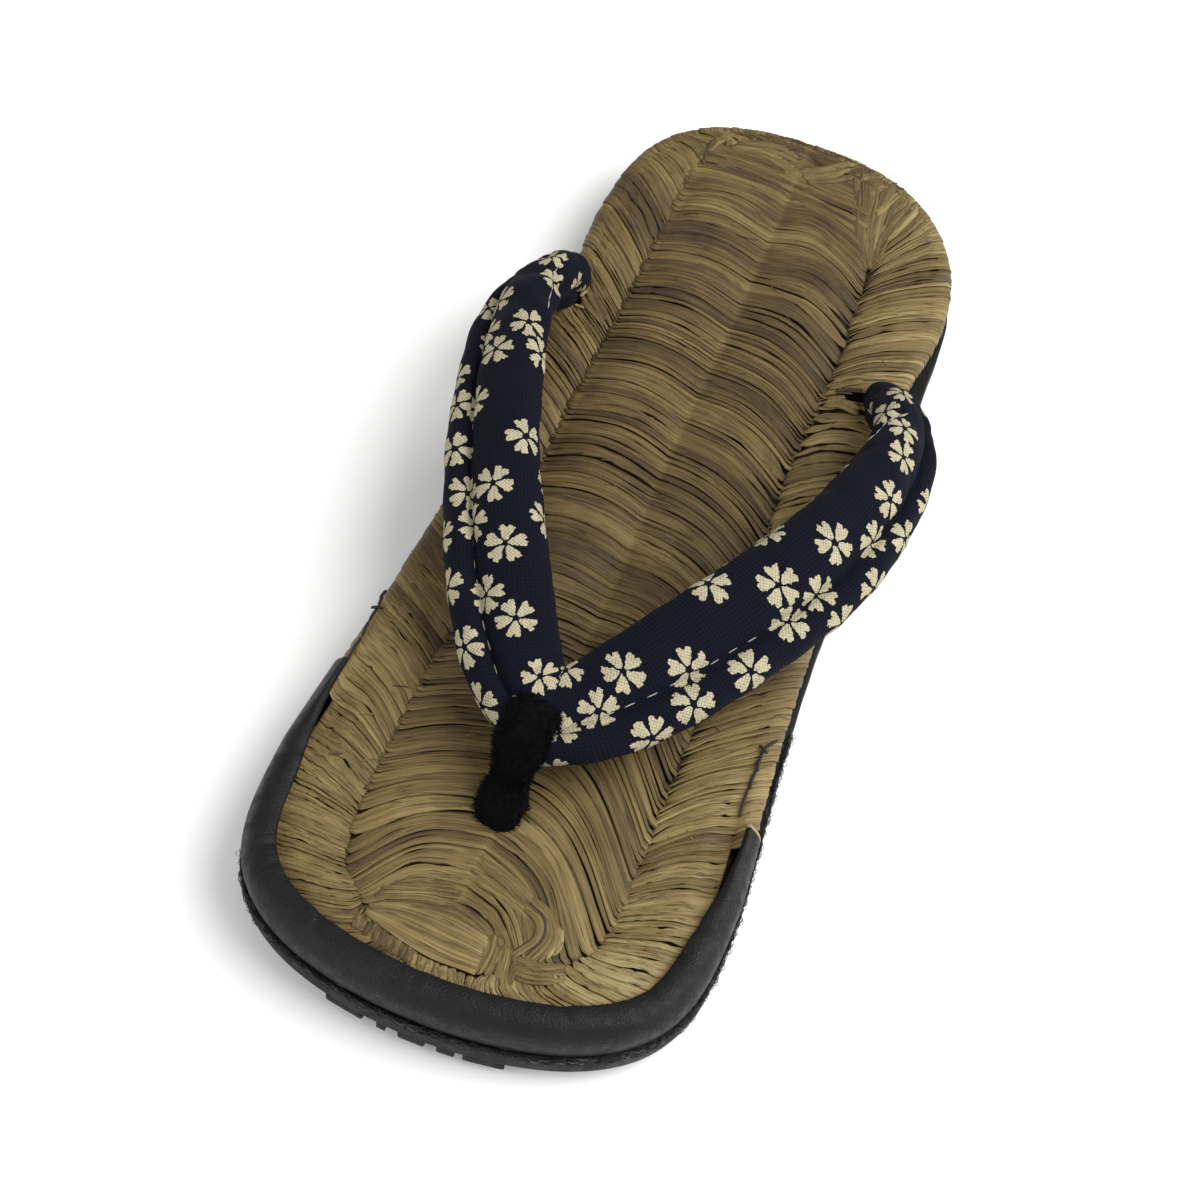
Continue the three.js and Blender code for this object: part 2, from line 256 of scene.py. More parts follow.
def mixColour(material, factor, first, second, blend="MIX"):
    made = join(material, "ShaderNodeMix", data_type="RGBA", blend_type=blend)
    for index, value in ((0, factor), (6, first), (7, second)):
        if isinstance(value, bpy.types.NodeSocket):
            material.node_tree.links.new(value, made.inputs[index])
        elif index == 0:
            made.inputs[index].default_value = value
        else:
            made.inputs[index].default_value = (*value, 1)
    return made.outputs[2]


# The shoe's own form, which every piece follows.

sole = {
    "treadHeight": 3,
    "slabTop": 7.8,
    "footbedThickness": 9.1,
    "forefootFlatTo": 84,
    "forefootFlatFrom": 18,
    "heelFlatTo": -62,
    "heelFlatFrom": -106,
    "toeSpring": 2.5,
    "archHeight": 2.5,
    "heelLift": 1,
    "stations": [
        {"y": -65, "half": 43.8},
        {"y": -30, "half": 42.5},
        {"y": 5, "half": 43.4},
        {"y": 40, "half": 45.3},
        {"y": 60, "half": 47.2},
        {"y": 78, "half": 48.8},
    ],
    "toeRound": (75, 4, 2),       # from, power, root
    "heelRound": (65, 3.5, 2.5),
    "heelLean": 2.2,              # how far the heel's end sits to one side
    "leanBetween": (86, 122),
}
outlineSteps = 6000
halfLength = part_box("toe_rim")[1].y / mm
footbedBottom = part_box("toe_rim")[0].z / mm
footbedTop = footbedBottom + sole["footbedThickness"]


def rise(y):
    toe = share(sole["forefootFlatTo"], halfLength, y) ** 2 * sole["toeSpring"]
    heel = share(sole["heelFlatFrom"], -halfLength, y) ** 2 * sole["heelLift"]
    waist = np.sin(np.pi * share(sole["heelFlatTo"], sole["forefootFlatFrom"], y)) ** 2
    return toe + heel + sole["archHeight"] * waist


def halfWidth(y):
    y = np.clip(y, -halfLength, halfLength)
    start, power, root = sole["toeRound"]
    toe = (1 - share(start, halfLength, y) ** power) ** (1 / root)
    start, power, root = sole["heelRound"]
    heel = (1 - share(-start, -halfLength, y) ** power) ** (1 / root)
    return readTable(sole["stations"], "y", "half", y) * toe * heel


def lean(y):
    return sole["heelLean"] * smooth(*sole["leanBetween"], -y)


# The outline as one closed line: 0 at the heel, 90 at the right waist, 180 at the toe.
outlineTurn = np.linspace(0, 2 * np.pi, outlineSteps + 1)
outlineY = -halfLength * np.cos(outlineTurn)
outlineX = np.sign(np.sin(outlineTurn)) * halfWidth(outlineY)
outlineX[[0, outlineSteps // 2, outlineSteps]] = 0
outlineX = outlineX + lean(outlineY)
outlineArc = np.concatenate([[0], np.cumsum(np.hypot(np.diff(outlineX), np.diff(outlineY)))])
girth = outlineArc[-1]


def arcAt(degrees):
    return np.interp(np.radians(degrees), outlineTurn, outlineArc)


def outline(arc, inset=0):          # a place on the sole's outline, moved in by an inset
    arc = np.mod(arc, girth)
    step = 0.8
    ahead, behind = np.mod(arc + step, girth), np.mod(arc - step, girth)
    alongX = np.interp(ahead, outlineArc, outlineX) - np.interp(behind, outlineArc, outlineX)
    alongY = np.interp(ahead, outlineArc, outlineY) - np.interp(behind, outlineArc, outlineY)
    length = np.hypot(alongX, alongY)
    x = np.interp(arc, outlineArc, outlineX) - alongY / length * inset
    y = np.interp(arc, outlineArc, outlineY) + alongX / length * inset
    return x, y


def insetOf(x, y):                  # how far inside the outline a place is, near enough for shading the rim
    reach = halfWidth(y) - np.abs(x - lean(y))
    slope = halfWidth(y + 0.5) - halfWidth(y - 0.5)
    return np.minimum(reach / np.sqrt(1 + slope ** 2), halfLength - np.abs(y))


# Camera, light and floor.

view = {
    "eye": (-0.0730, 0.3256, 0.4526),
    "aim": (0.0026, 0.0209, 0.014),
    "roll": 8.4,          # degrees
    "lens": 77,
    "nearest": 0.01,
    "keyPlace": (-0.66, -0.1, 0.75),
    "keySize": 1.1,
    "keyPower": 15.5,
    "fillPlace": (0.55, 0.75, 0.6),
    "fillSize": 1.1,
    "fillPower": 6,
    "sky": 0.42,
    "floor": (0.95, 0.95, 0.945),
    "floorReach": 3,
    "floorDrop": 0.0001,  # clear of the sole's flat face
}


def makeStage():
    eye, aim = Vector(view["eye"]), Vector(view["aim"])
    data = bpy.data.cameras.new("camera")
    data.lens = view["lens"]
    data.clip_start = view["nearest"]
    camera = bpy.data.objects.new("camera", data)
    facing = (aim - eye).to_track_quat("-Z", "Y").to_matrix().to_4x4()
    roll = Matrix.Rotation(math.radians(view["roll"]), 4, "Z")
    camera.matrix_world = Matrix.Translation(eye) @ facing @ roll
    bpy.context.scene.collection.objects.link(camera)
    bpy.context.scene.camera = camera

    for name in ("key", "fill"):
        data = bpy.data.lights.new(name, "AREA")
        data.shape = "DISK"
        data.size = view[name + "Size"]
        data.energy = view[name + "Power"]
        light = bpy.data.objects.new(name, data)
        light.location = view[name + "Place"]
        light.rotation_euler = (-Vector(view[name + "Place"])).to_track_quat("-Z", "Y").to_euler()
        bpy.context.scene.collection.objects.link(light)

    world = bpy.data.worlds.new("studio")
    world.use_nodes = True
    world.node_tree.nodes["Background"].inputs["Color"].default_value = (1, 1, 1, 1)
    world.node_tree.nodes["Background"].inputs["Strength"].default_value = view["sky"]
    bpy.context.scene.world = world
    bpy.context.scene.view_settings.view_transform = "Standard"

    bm = bmesh.new()
    bmesh.ops.create_grid(bm, x_segments=2, y_segments=2, size=view["floorReach"])
    bmesh.ops.translate(bm, vec=(0, 0, -view["floorDrop"]), verts=bm.verts)
    mesh = asMesh("floor", bm)
    paint = newMaterial("floor_paint", **{"Base Color": (*view["floor"], 1), "Roughness": 0.9})
    mottle = noise(paint, objectPlace(paint), 3, 4)
    toShader(paint, Normal=bump(paint, mottle, 0.0005, 0.1))
    mesh.materials.append(paint)
    floor = bpy.data.objects.new("floor", mesh)
    bpy.context.scene.collection.objects.link(floor)


makeStage()
print("stage set")


# The woven footbed.

weave = {
    "outerValley": 2.3,           # depth of the two outer valleys
    "middleValley": 1.4,
    "valleyPower": 2.5,           # how sharply a lane falls into its valleys
    "heelFade": (-114, -100),     # the lanes grow out of the flat ends
    "toeFade": (98, 110),
    "middleFade": (50, 80),       # and the middle valley grows shallow to the toe
    "middleShallow": 0.65,
    "borderSpill": 6,             # the border's curve goes on past the outline
    "swell": 0.18,
    "underRim": 1.3,              # the mat is pressed down under the rim
    "underRimInset": (6.5, 11.5),
    "underRimFrom": (54, 64),
    "sideRadius": 3.2,
    "sideDepth": 10.6,            # a border strand's length from the top to the sole
    "sideSlant": 0.75,
    "around": 8,                  # sides of one strand
    "flatness": 0.75,
    "crown": 0.2,                 # of one strand, above and below its middle
    "belly": 0.3,
    "narrowest": 1.1,
    "fineTo": 2,
    "broadFrom": 2.3,
    "widest": 4.4,
    "broadShare": 0.5,
    "bundle": 4,                  # the most fine strands side by side
    "overlap": 1.2,
    "shingle": 0.24,
    "dive": 0.95,                 # the most a strand's end goes down into a valley
    "slit": 0.62,                 # the widest a slit between neighbours may open
    "slitChances": (0.85, 0.6, 0.5, 0.4),
    "slitReach": (0.02, 0.08),
    "slitDepth": (0.12, 0.5),
    "calmFrom": (-98, -74),       # the heel's strands lie closer
    "calm": 0.35,
    "partedShare": 0.6,           # of the strands, drawn in at the valleys by some share
    "partedBy": (0.15, 0.6),
    "deepShare": 0.4,             # of the ends, going down all the way
    "shallow": 0.3,
    "liftSpread": 0.07,
    "skew": 0.35,
    "middleRings": 34,            # points along a strand, and its length for the grain
    "middleLength": 52,
    "borderRings": 30,
    "borderLength": 34,
    "borderTopShare": 0.66,       # the share of those points that lie on top of the mat
    "laidRings": 16,
    "laidLength": 20,
    "rimFrom": 66,                # from here on the border's ends are under the rim
    "coreInset": 3.2,
    "coreBelow": 1.9,
    "shades": [
        (0.0, (0.034, 0.02, 0.007)), (0.3, (0.08, 0.051, 0.0165)), (0.55, (0.14, 0.096, 0.031)),
        (0.8, (0.21, 0.151, 0.054)), (1.0, (0.3, 0.236, 0.1)),
    ],
    "hairShade": (0.36, 0.33, 0.3),
    # painted shade: the core's colours are kept dark as the shade in the slits between strands
    "coreShades": [(0.3, (0.02, 0.013, 0.007)), (0.7, (0.08, 0.055, 0.03))],
    # painted shadow colour for the hollows beside the strap's ends
    "hollowShadow": (0.003, 0.0022, 0.0018),
    "toneDrift": 0.07,
    "toneSpread": 0.11,
    "toneLimits": (0.15, 0.82),
    "rightValley": [
        {"y": -110, "x": 25.5}, {"y": -60, "x": 26.5}, {"y": 0, "x": 26.6}, {"y": 50, "x": 28},
        {"y": 88, "x": 28}, {"y": 100, "x": 25.5}, {"y": 109, "x": 17},
    ],
    "middle": [
        {"y": -105, "x": 3}, {"y": -60, "x": 2.4}, {"y": 0, "x": 1.7}, {"y": 60, "x": 1.2},
        {"y": 105, "x": 2},
    ],
    "leftValley": [
        {"y": -105, "x": -21}, {"y": -85, "x": -22}, {"y": -60, "x": -23.5}, {"y": -38, "x": -22.6},
        {"y": 0, "x": -24.4}, {"y": 60, "x": -26.6}, {"y": 97, "x": -26.4}, {"y": 109, "x": -21},
    ],
}

# The two middle lanes: where a strand that crosses the middle at a place lies on its way over.
middleColumns = ("right", "rightCrown", "middle", "leftCrown", "left")
middleFlow = [
    [(15, -121.2), (9, -122.4), (2, -122.9), (-5, -122.5), (-12.5, -121.4)],
    [(21, -115.8), (13, -117.3), (3.5, -117.6), (-5, -117), (-15, -115.2)],
    [(25, -110.5), (14, -111), (3, -110), (-5, -109), (-17, -107.4)],
    [(26.5, -104), (14, -104.5), (3, -103.5), (-5, -103.5), (-19, -98.6)],
    [(26.5, -96), (14.5, -97), (2.8, -94.5), (-8, -95), (-21, -88)],
    [(26.5, -85.5), (14.5, -87), (2.6, -85.4), (-9.5, -86), (-22, -80.8)],
    [(26.5, -61.8), (14.5, -63), (2.4, -60.9), (-10.5, -58.9), (-23.5, -51.3)],
    [(26.5, -36.8), (14.5, -38), (2.2, -35.9), (-10.5, -33.2), (-23, -26.3)],
    [(26.5, -22.4), (14.5, -24), (2, -21.9), (-10.5, -18.9), (-24, -11.5)],
    [(26.8, 10), (14.5, 7.5), (1.5, 9), (-10.5, 11.5), (-25, 20)],
    [(27.5, 40), (14.5, 36), (1.2, 35), (-11, 38), (-26, 54)],
    [(28.3, 68.7), (15, 63), (1.5, 60.5), (-12, 66), (-27, 83)],
    [(28, 87.5), (15.5, 79.5), (1.5, 75.5), (-12, 80.5), (-26.5, 97)],
    [(25, 101), (14, 88.5), (1.5, 84.5), (-11, 90.5), (-21, 105)],
    [(22, 104.5), (13, 93), (2, 89.5), (-9.5, 95), (-17.5, 107)],
    [(19.5, 107), (12, 98), (2, 95), (-7.5, 99.5), (-14, 108)],
    [(17.5, 108.5), (10.5, 103), (1.5, 101), (-5, 103), (-10.5, 107.5)],
    [(16.5, 109.5), (9.5, 106), (1, 104.5), (-4, 106), (-8.5, 108)],
]

# The border all round: from a place on the outline, in degrees, back to where its strand comes from.
borderFlow = [
    {"at": 5.1, "mid": (5.5, -122), "inner": (5, -121.4)},
    {"at": 14.5, "mid": (18.5, -118.8), "inner": (17, -117.6)},
    {"at": 22.5, "mid": (26.5, -112.8), "inner": (24, -110.5)},
    {"at": 32, "mid": (32.5, -103.5), "inner": (26.3, -99)},
    {"at": 38.4, "mid": (34, -94.5), "inner": (26.5, -87)},
    {"at": 46.5, "mid": (34.5, -81.5), "inner": (26.5, -73.5)},
    {"at": 57, "mid": (34, -64), "inner": (26.5, -57.5)},
    {"at": 68.9, "mid": (34, -42.5), "inner": (26.5, -37)},
    {"at": 90, "mid": (34.5, 2.5), "inner": (26.6, 8)},
    {"at": 111.1, "mid": (36, 48), "inner": (28, 53)},
    {"at": 118.7, "mid": (36, 63.5), "inner": (28.3, 69.5)},
    {"at": 125.7, "mid": (36.5, 76), "inner": (28.3, 79.5)},
    {"at": 130.4, "mid": (36.5, 84), "inner": (28.2, 87)},
    {"at": 135.1, "mid": (36, 89.8), "inner": (27.8, 90.5)},
    {"at": 143.9, "mid": (33, 100.5), "inner": (25.5, 99.5)},
    {"at": 151.6, "mid": (27, 107), "inner": (21, 105)},
    {"at": 162.9, "mid": (18.5, 114), "inner": (16.5, 110)},
    {"at": 172.7, "mid": (7.5, 118), "inner": (7, 113.5)},
    {"at": 185.1, "mid": (-5.5, 118.5), "inner": (-6, 115)},
    {"at": 194.5, "mid": (-15, 115.5), "inner": (-13, 110)},
    {"at": 202.5, "mid": (-23, 111.5), "inner": (-19, 107.5)},
    {"at": 212.9, "mid": (-30.5, 104.5), "inner": (-23.5, 102.5)},
    {"at": 223, "mid": (-33.5, 94), "inner": (-26.4, 95.5)},
    {"at": 232, "mid": (-34, 81.5), "inner": (-26.6, 86)},
    {"at": 239.7, "mid": (-33.5, 69), "inner": (-26.6, 75.5)},
    {"at": 251.3, "mid": (-34, 45.5), "inner": (-26.2, 52)},
    {"at": 265.4, "mid": (-33, 15.5), "inner": (-25, 22)},
    {"at": 280.6, "mid": (-31, -18.8), "inner": (-24, -14)},
    {"at": 288.7, "mid": (-30, -38.4), "inner": (-22.7, -34)},
    {"at": 293.1, "mid": (-30, -49), "inner": (-22.8, -46)},
    {"at": 301.5, "mid": (-30, -61.8), "inner": (-23.2, -57)},
    {"at": 307.8, "mid": (-31, -71.8), "inner": (-23.4, -66)},
    {"at": 318.1, "mid": (-31, -87.5), "inner": (-22, -80.5)},
    {"at": 323.9, "mid": (-30, -95), "inner": (-21.9, -86.5)},
    {"at": 332.6, "mid": (-29, -105), "inner": (-22, -94)},
    {"at": 340.7, "mid": (-25, -112), "inner": (-21, -101)},
    {"at": 348.5, "mid": (-14.5, -118), "inner": (-12.5, -115)},
    {"at": 356.8, "mid": (-5, -121.6), "inner": (-5, -120.8)},
]


def laneHeight(x, y):               # 0 on a crown, and down to the valleys' depth
    right = readTable(weave["rightValley"], "y", "x", y)
    middle = readTable(weave["middle"], "y", "x", y)
    left = readTable(weave["leftValley"], "y", "x", y)
    half = halfWidth(y) + weave["borderSpill"]
    fade = smooth(*weave["heelFade"], y) * (1 - smooth(*weave["toeFade"], y))
    middleFade = fade * (1 - weave["middleShallow"] * smooth(*weave["middleFade"], y))
    power = weave["valleyPower"]
    depth = 0
    for inner, outer, innerDepth, outerDepth in (
        (middle, right, weave["middleValley"] * middleFade, weave["outerValley"] * fade),
        (middle, left, weave["middleValley"] * middleFade, weave["outerValley"] * fade),
        (right, half, weave["outerValley"] * fade, 0),
        (left, -half, weave["outerValley"] * fade, 0),
    ):
        lane = (x - inner) / (outer - inner)
        inside = (lane >= 0) & (lane <= 1)
        drop = innerDepth * (1 - share(0, 0.5, lane)) ** power + outerDepth * share(0.5, 1, lane) ** power
        depth = np.where(inside, drop, depth)
    return -depth


def footbedSurface(x, y):           # the height of the mat's top
    inset = insetOf(x, y)
    rimZone = smooth(*weave["underRimFrom"], y)
    underRim = rimZone * (1 - smooth(*weave["underRimInset"], inset)) * weave["underRim"]
    swell = weave["swell"] * np.sin(x * 0.31 + 1.3 * np.sin(y * 0.09)) * np.sin(y * 0.23 + 1)
    return footbedTop + rise(y) + laneHeight(x, y) - underRim + swell


def strandBatch(count, along):
    mesh = asMesh("strands", copies(bar(weave["around"], along), count))
    t, turn = barTurns(mesh)
    across = squared(np.cos(turn), weave["flatness"])
    height = squared(np.sin(turn), weave["flatness"])
    return mesh, t, copyOf(t, count), across, height


def bandWidths(total, seed):        # widths of neighbouring strands, fine bundles and broad bands in turn
    own = np.random.default_rng(seed)
    widths = []
    while sum(widths) < total:
        broad = own.random() < weave["broadShare"]
        low, high = ("broadFrom", "widest") if broad else ("narrowest", "fineTo")
        for _ in range(1 if broad else own.integers(1, weave["bundle"] + 1)):
            widths.append(own.uniform(weave[low], weave[high]))
    widths = np.array(widths)
    return widths * total / widths.sum()


def strandTones(centres, seed):     # how light each strand is, drifting along the lane
    own = np.random.default_rng(seed)
    drift = wander(centres / 9, seed + 1, 7) * weave["toneDrift"]
    return np.clip(0.5 + drift + own.normal(0, weave["toneSpread"], len(centres)), *weave["toneLimits"])


def slits(t, strand, count, seed):  # where neighbours part, as a share of a strand's width
    own = np.random.default_rng(seed)
    opening = 0
    for chance in weave["slitChances"]:
        where = own.uniform(0, 1, count)[strand]
        reach = own.uniform(*weave["slitReach"], count)[strand]
        most = (own.uniform(*weave["slitDepth"], count) * (own.random(count) < chance))[strand]
        opening = opening + most * np.exp(-((t - where) / reach) ** 2)
    return np.minimum(opening, 0.7)


def grainUv(mesh, distance, across, width, strand, seed):
    own = np.random.default_rng(seed)
    shift = own.uniform(0, 400, strand.max() + 1)[strand]
    corner = cornerPoints(mesh)
    uv = np.stack([distance + shift, across * width / 2 + shift * 3.7], -1) * mm
    storeUv(mesh, "grain", uv[corner])


def acrossMiddle(rows, c, t):       # a strand's way over the middle, from valley to valley
    reach = -0.02 + t * 1.04
    knot = np.clip(reach, 0, 1) * 4
    k = np.clip(knot.astype(int), 0, 3)
    f = knot - k
    n = np.arange(len(c))
    kinked = 0.8 * smooth(70, 86, c)        # the toe's strands are folded where they cross the middle
    spot = []
    for axis in "XY":
        at = np.stack([readTable(rows, "c", name + axis, c) for name in middleColumns])
        slopeIn = np.gradient(at, axis=0)
        slopeOut = slopeIn.copy()
        slopeIn[2] += (at[2] - at[1] - slopeIn[2]) * kinked
        slopeOut[2] += (at[3] - at[2] - slopeOut[2]) * kinked
        p0, p1, m0, m1 = at[k, n], at[k + 1, n], slopeOut[k, n], slopeIn[k + 1, n]
        spot.append(
            (1 + 2 * f) * (1 - f) ** 2 * p0 + f * (1 - f) ** 2 * m0
            + f * f * (3 - 2 * f) * p1 - f * f * (1 - f) * m1
        )
    return spot[0] + (reach < 0) * 0.9 - (reach > 1) * 0.9, spot[1]


def middleStrands():
    rows = []
    for places in middleFlow:
        row = dict(zip(middleColumns, places))
        rows.append({"c": row["middle"][1]})
        for name, (x, y) in row.items():
            rows[-1][name + "X"], rows[-1][name + "Y"] = x, y
    low, high = rows[0]["c"], rows[-1]["c"]
    widths = bandWidths(high - low, 11)
    starts = low + np.concatenate([[0], np.cumsum(widths)[:-1]])
    centres = starts + widths / 2
    count = len(widths)
    mesh, t, strand, across, height = strandBatch(count, weave["middleRings"])
    own = np.random.default_rng(12)
    calm = (weave["calm"] + (1 - weave["calm"]) * smooth(*weave["calmFrom"], centres))[strand]
    closest = 1 - weave["slit"] / widths[strand]
    lateral = np.maximum(weave["overlap"] - slits(t, strand, count, 13) * calm, closest)
    lateral = lateral - 0.2 * (1 - smooth(0, 0.05, t)) - 0.2 * smooth(0.95, 1, t)
    parted = own.random((2, count)) < weave["partedShare"]
    parted = parted * own.uniform(*weave["partedBy"], (2, count))
    ends = (centres < -95) | (centres > 92)
    looseness = np.array([np.where(centres < 60, 0.15, 0.6), np.where(ends, 0.2, 1)])
    parted = parted * looseness
    lateral = lateral - parted[0, strand] * (1 - smooth(0, 0.09, t)) - parted[1, strand] * smooth(0.87, 1, t)
    wobble = wander(t * 7 + own.uniform(0, 9, count)[strand], 14) * 0.2
    wobble = wobble + own.normal(0, weave["skew"], count)[strand] * (2 * t - 1)
    c = centres[strand] + across * widths[strand] / 2 * lateral + wobble * np.sin(np.pi * t) ** 0.5
    x, y = acrossMiddle(rows, c, t)
    sink = np.where(own.random((2, count)) < weave["deepShare"], 1, weave["shallow"])
    sink = np.minimum(sink, looseness)[:, strand] * weave["dive"]
    down = sink[0] * (1 - smooth(0, 0.05, t)) ** 2 + sink[1] * smooth(0.95, 1, t) ** 2
    lift = own.normal(0, weave["liftSpread"], count)[strand]
    tilt = own.uniform(0.1, 1, count)[strand] * weave["shingle"] * across * calm
    body = np.where(height > 0, weave["crown"], weave["belly"]) * height
    z = footbedSurface(x, y) - weave["crown"] + body + lift + tilt - down
    # Tones: paler along the middle valley, and painted light, lighter toward the toe.
    valley = np.exp(-((x - readTable(weave["middle"], "y", "x", y)) / 0.9) ** 2)
    tones = strandTones(centres, 15)[strand] + 0.14 * valley - 0.1 * (1 - smooth(50, 90, y))
    place(mesh, np.stack([x, y, z], -1))
    storeValue(mesh, "tone", tones)
    # painted shade: the unshaded share falls as a strand's end dives into a valley, and the material darkens
    # it there
    storeValue(mesh, "unshaded", np.clip(1 - down / weave["dive"], 0, 1))
    grainUv(mesh, t * weave["middleLength"], across, widths[strand], strand, 16)
    return mesh


def borderPlace(arc, t, side):
    # t runs from the valley to the edge, and side from there over the edge and down, in millimetres
    rows = []
    for turn in (-360, 0, 360):
        for row in borderFlow:
            at = arcAt(row["at"]) + turn / 360 * girth
            (midX, midY), (inX, inY) = row["mid"], row["inner"]
            rows.append({"arc": at, "midX": midX, "midY": midY, "inX": inX, "inY": inY})
    radius = weave["sideRadius"]
    home = outline(arc, 0)
    inset = 1.1 * share(-halfLength, -65, home[1]) + 2.2 * np.exp(-((home[1] + 56) / 13) ** 2)
    edgeX, edgeY = outline(arc, inset + radius)
    inX, inY = readTable(rows, "arc", "inX", arc), readTable(rows, "arc", "inY", arc)
    midX, midY = readTable(rows, "arc", "midX", arc), readTable(rows, "arc", "midY", arc)
    a, b, e = (1 - t) * (1 - 2 * t), 4 * t * (1 - t), t * (2 * t - 1)
    x, y = a * inX + b * midX + e * edgeX, a * inY + b * midY + e * edgeY
    z = footbedSurface(x, y)
    # over the edge
    slant = -weave["sideSlant"] * np.sin(2 * np.pi * arc / girth)
    quarter = radius * np.pi / 2
    roll = np.clip(side / quarter, 0, 1) * np.pi / 2
    fall = np.maximum(side - quarter, 0)
    drawnIn = inset + radius - radius * np.sin(roll) + 0.035 * fall ** 1.8
    sideX, sideY = outline(arc + slant * side, drawnIn)
    over = side > 0
    top = footbedTop + rise(edgeY)
    sideZ = top - radius * (1 - np.cos(roll)) - fall
    return np.where(over, sideX, x), np.where(over, sideY, y), np.where(over, sideZ, z), roll


def borderStrands():
    widths = bandWidths(girth, 21)
    centres = np.cumsum(widths) - widths / 2
    count = len(widths)
    mesh, t, strand, across, height = strandBatch(count, weave["borderRings"])
    own = np.random.default_rng(22)
    hidden = (outline(centres, 0)[1] > weave["rimFrom"])[strand]
    topShare = weave["borderTopShare"]
    along = np.where(hidden, t * 0.96, np.minimum(t / topShare, 1))
    side = np.where(hidden, 0, np.maximum(t - topShare, 0) / (1 - topShare) * weave["sideDepth"])
    homeX, homeY = outline(centres, 0)
    leftPull = np.exp(-((homeY + 45) / 9) ** 2) * (homeX < 0)       # the strap ends draw strands apart
    rightPull = 0.6 * np.exp(-((homeY + 56) / 6) ** 2) * (homeX > 0)
    pulled = (leftPull + rightPull)[strand]
    opening = slits(t, strand, count, 23) * (1 - 0.5 * (side > 0))
    opening = np.minimum(opening, 0.2 + weave["slit"] / widths[strand])
    pull = own.uniform(*weave["partedBy"], count)[strand] * pulled
    opening = opening + pull * (1 - smooth(0.4, 0.6, t))
    taper = 0.2 * (1 - smooth(0, 0.08, t)) + 0.45 * smooth(5.5, weave["sideDepth"], side)
    lateral = weave["overlap"] - opening - taper
    looseness = np.where(homeX > 0, 0.15, 1)
    parted = own.random(count) < weave["partedShare"]
    parted = (parted * own.uniform(*weave["partedBy"], count) * looseness)[strand]
    lateral = np.maximum(lateral - parted * (1 - smooth(0, 0.16, t)), 0.3)
    wobble = wander(t * 6 + own.uniform(0, 9, count)[strand], 24) * 0.15 * smooth(0, 0.2, t) * (side == 0)
    wobble = wobble * (1 + 2.5 * pulled)
    arc = centres[strand] + across * widths[strand] / 2 * lateral + wobble
    x, y, z, roll = borderPlace(arc, along, side)
    sink = np.where(own.random(count) < weave["deepShare"], 1, weave["shallow"])
    sink = np.minimum(sink, np.maximum(looseness, 0.25))
    down = sink[strand] * weave["dive"] * (1 - smooth(0, 0.09, t)) ** 2
    lift = own.normal(0, weave["liftSpread"], count)[strand]
    deeper = 1 + 1.3 * smooth(2.5, 8, side)
    tilt = own.uniform(0.2, 1, count)[strand] * weave["shingle"] * across * deeper
    tilt = tilt * np.where(homeX > 0, 1, -1)[strand] * (1 - 0.6 * smooth(0.75, 1, along))
    body = np.where(height > 0, weave["crown"] * deeper, weave["belly"]) * height
    proud = body + lift + tilt - weave["crown"] - 0.9 * smooth(7.5, weave["sideDepth"], side)
    outX, outY = outline(arc, -1)
    inX, inY = outline(arc, 0)
    x = x + (outX - inX) * proud * np.sin(roll)
    y = y + (outY - inY) * proud * np.sin(roll)
    z = z + proud * np.cos(roll) - down
    # painted light and shade: the border is lighter toward the toe and along the left side, more so where
    # the left strap's end pulls strands apart, and darker on the right side toward the heel
    tones = strandTones(centres, 25)[strand] + 0.13 * smooth(30, 90, y)
    tones = tones + np.where(x > 0, 0.1 * smooth(20, 60, y) - 0.04, 0.13 + 0.14 * pulled)
    place(mesh, np.stack([x, y, z], -1))
    storeValue(mesh, "tone", tones)
    # painted shade: the unshaded share falls where an end dives and further down the mat's side, and the
    # material darkens it there
    deep = down / weave["dive"] + 0.7 * smooth(7, weave["sideDepth"], side)
    storeValue(mesh, "unshaded", np.clip(1 - deep, 0, 1))
    grainUv(mesh, t * weave["borderLength"], across, widths[strand], strand, 26)
    return mesh
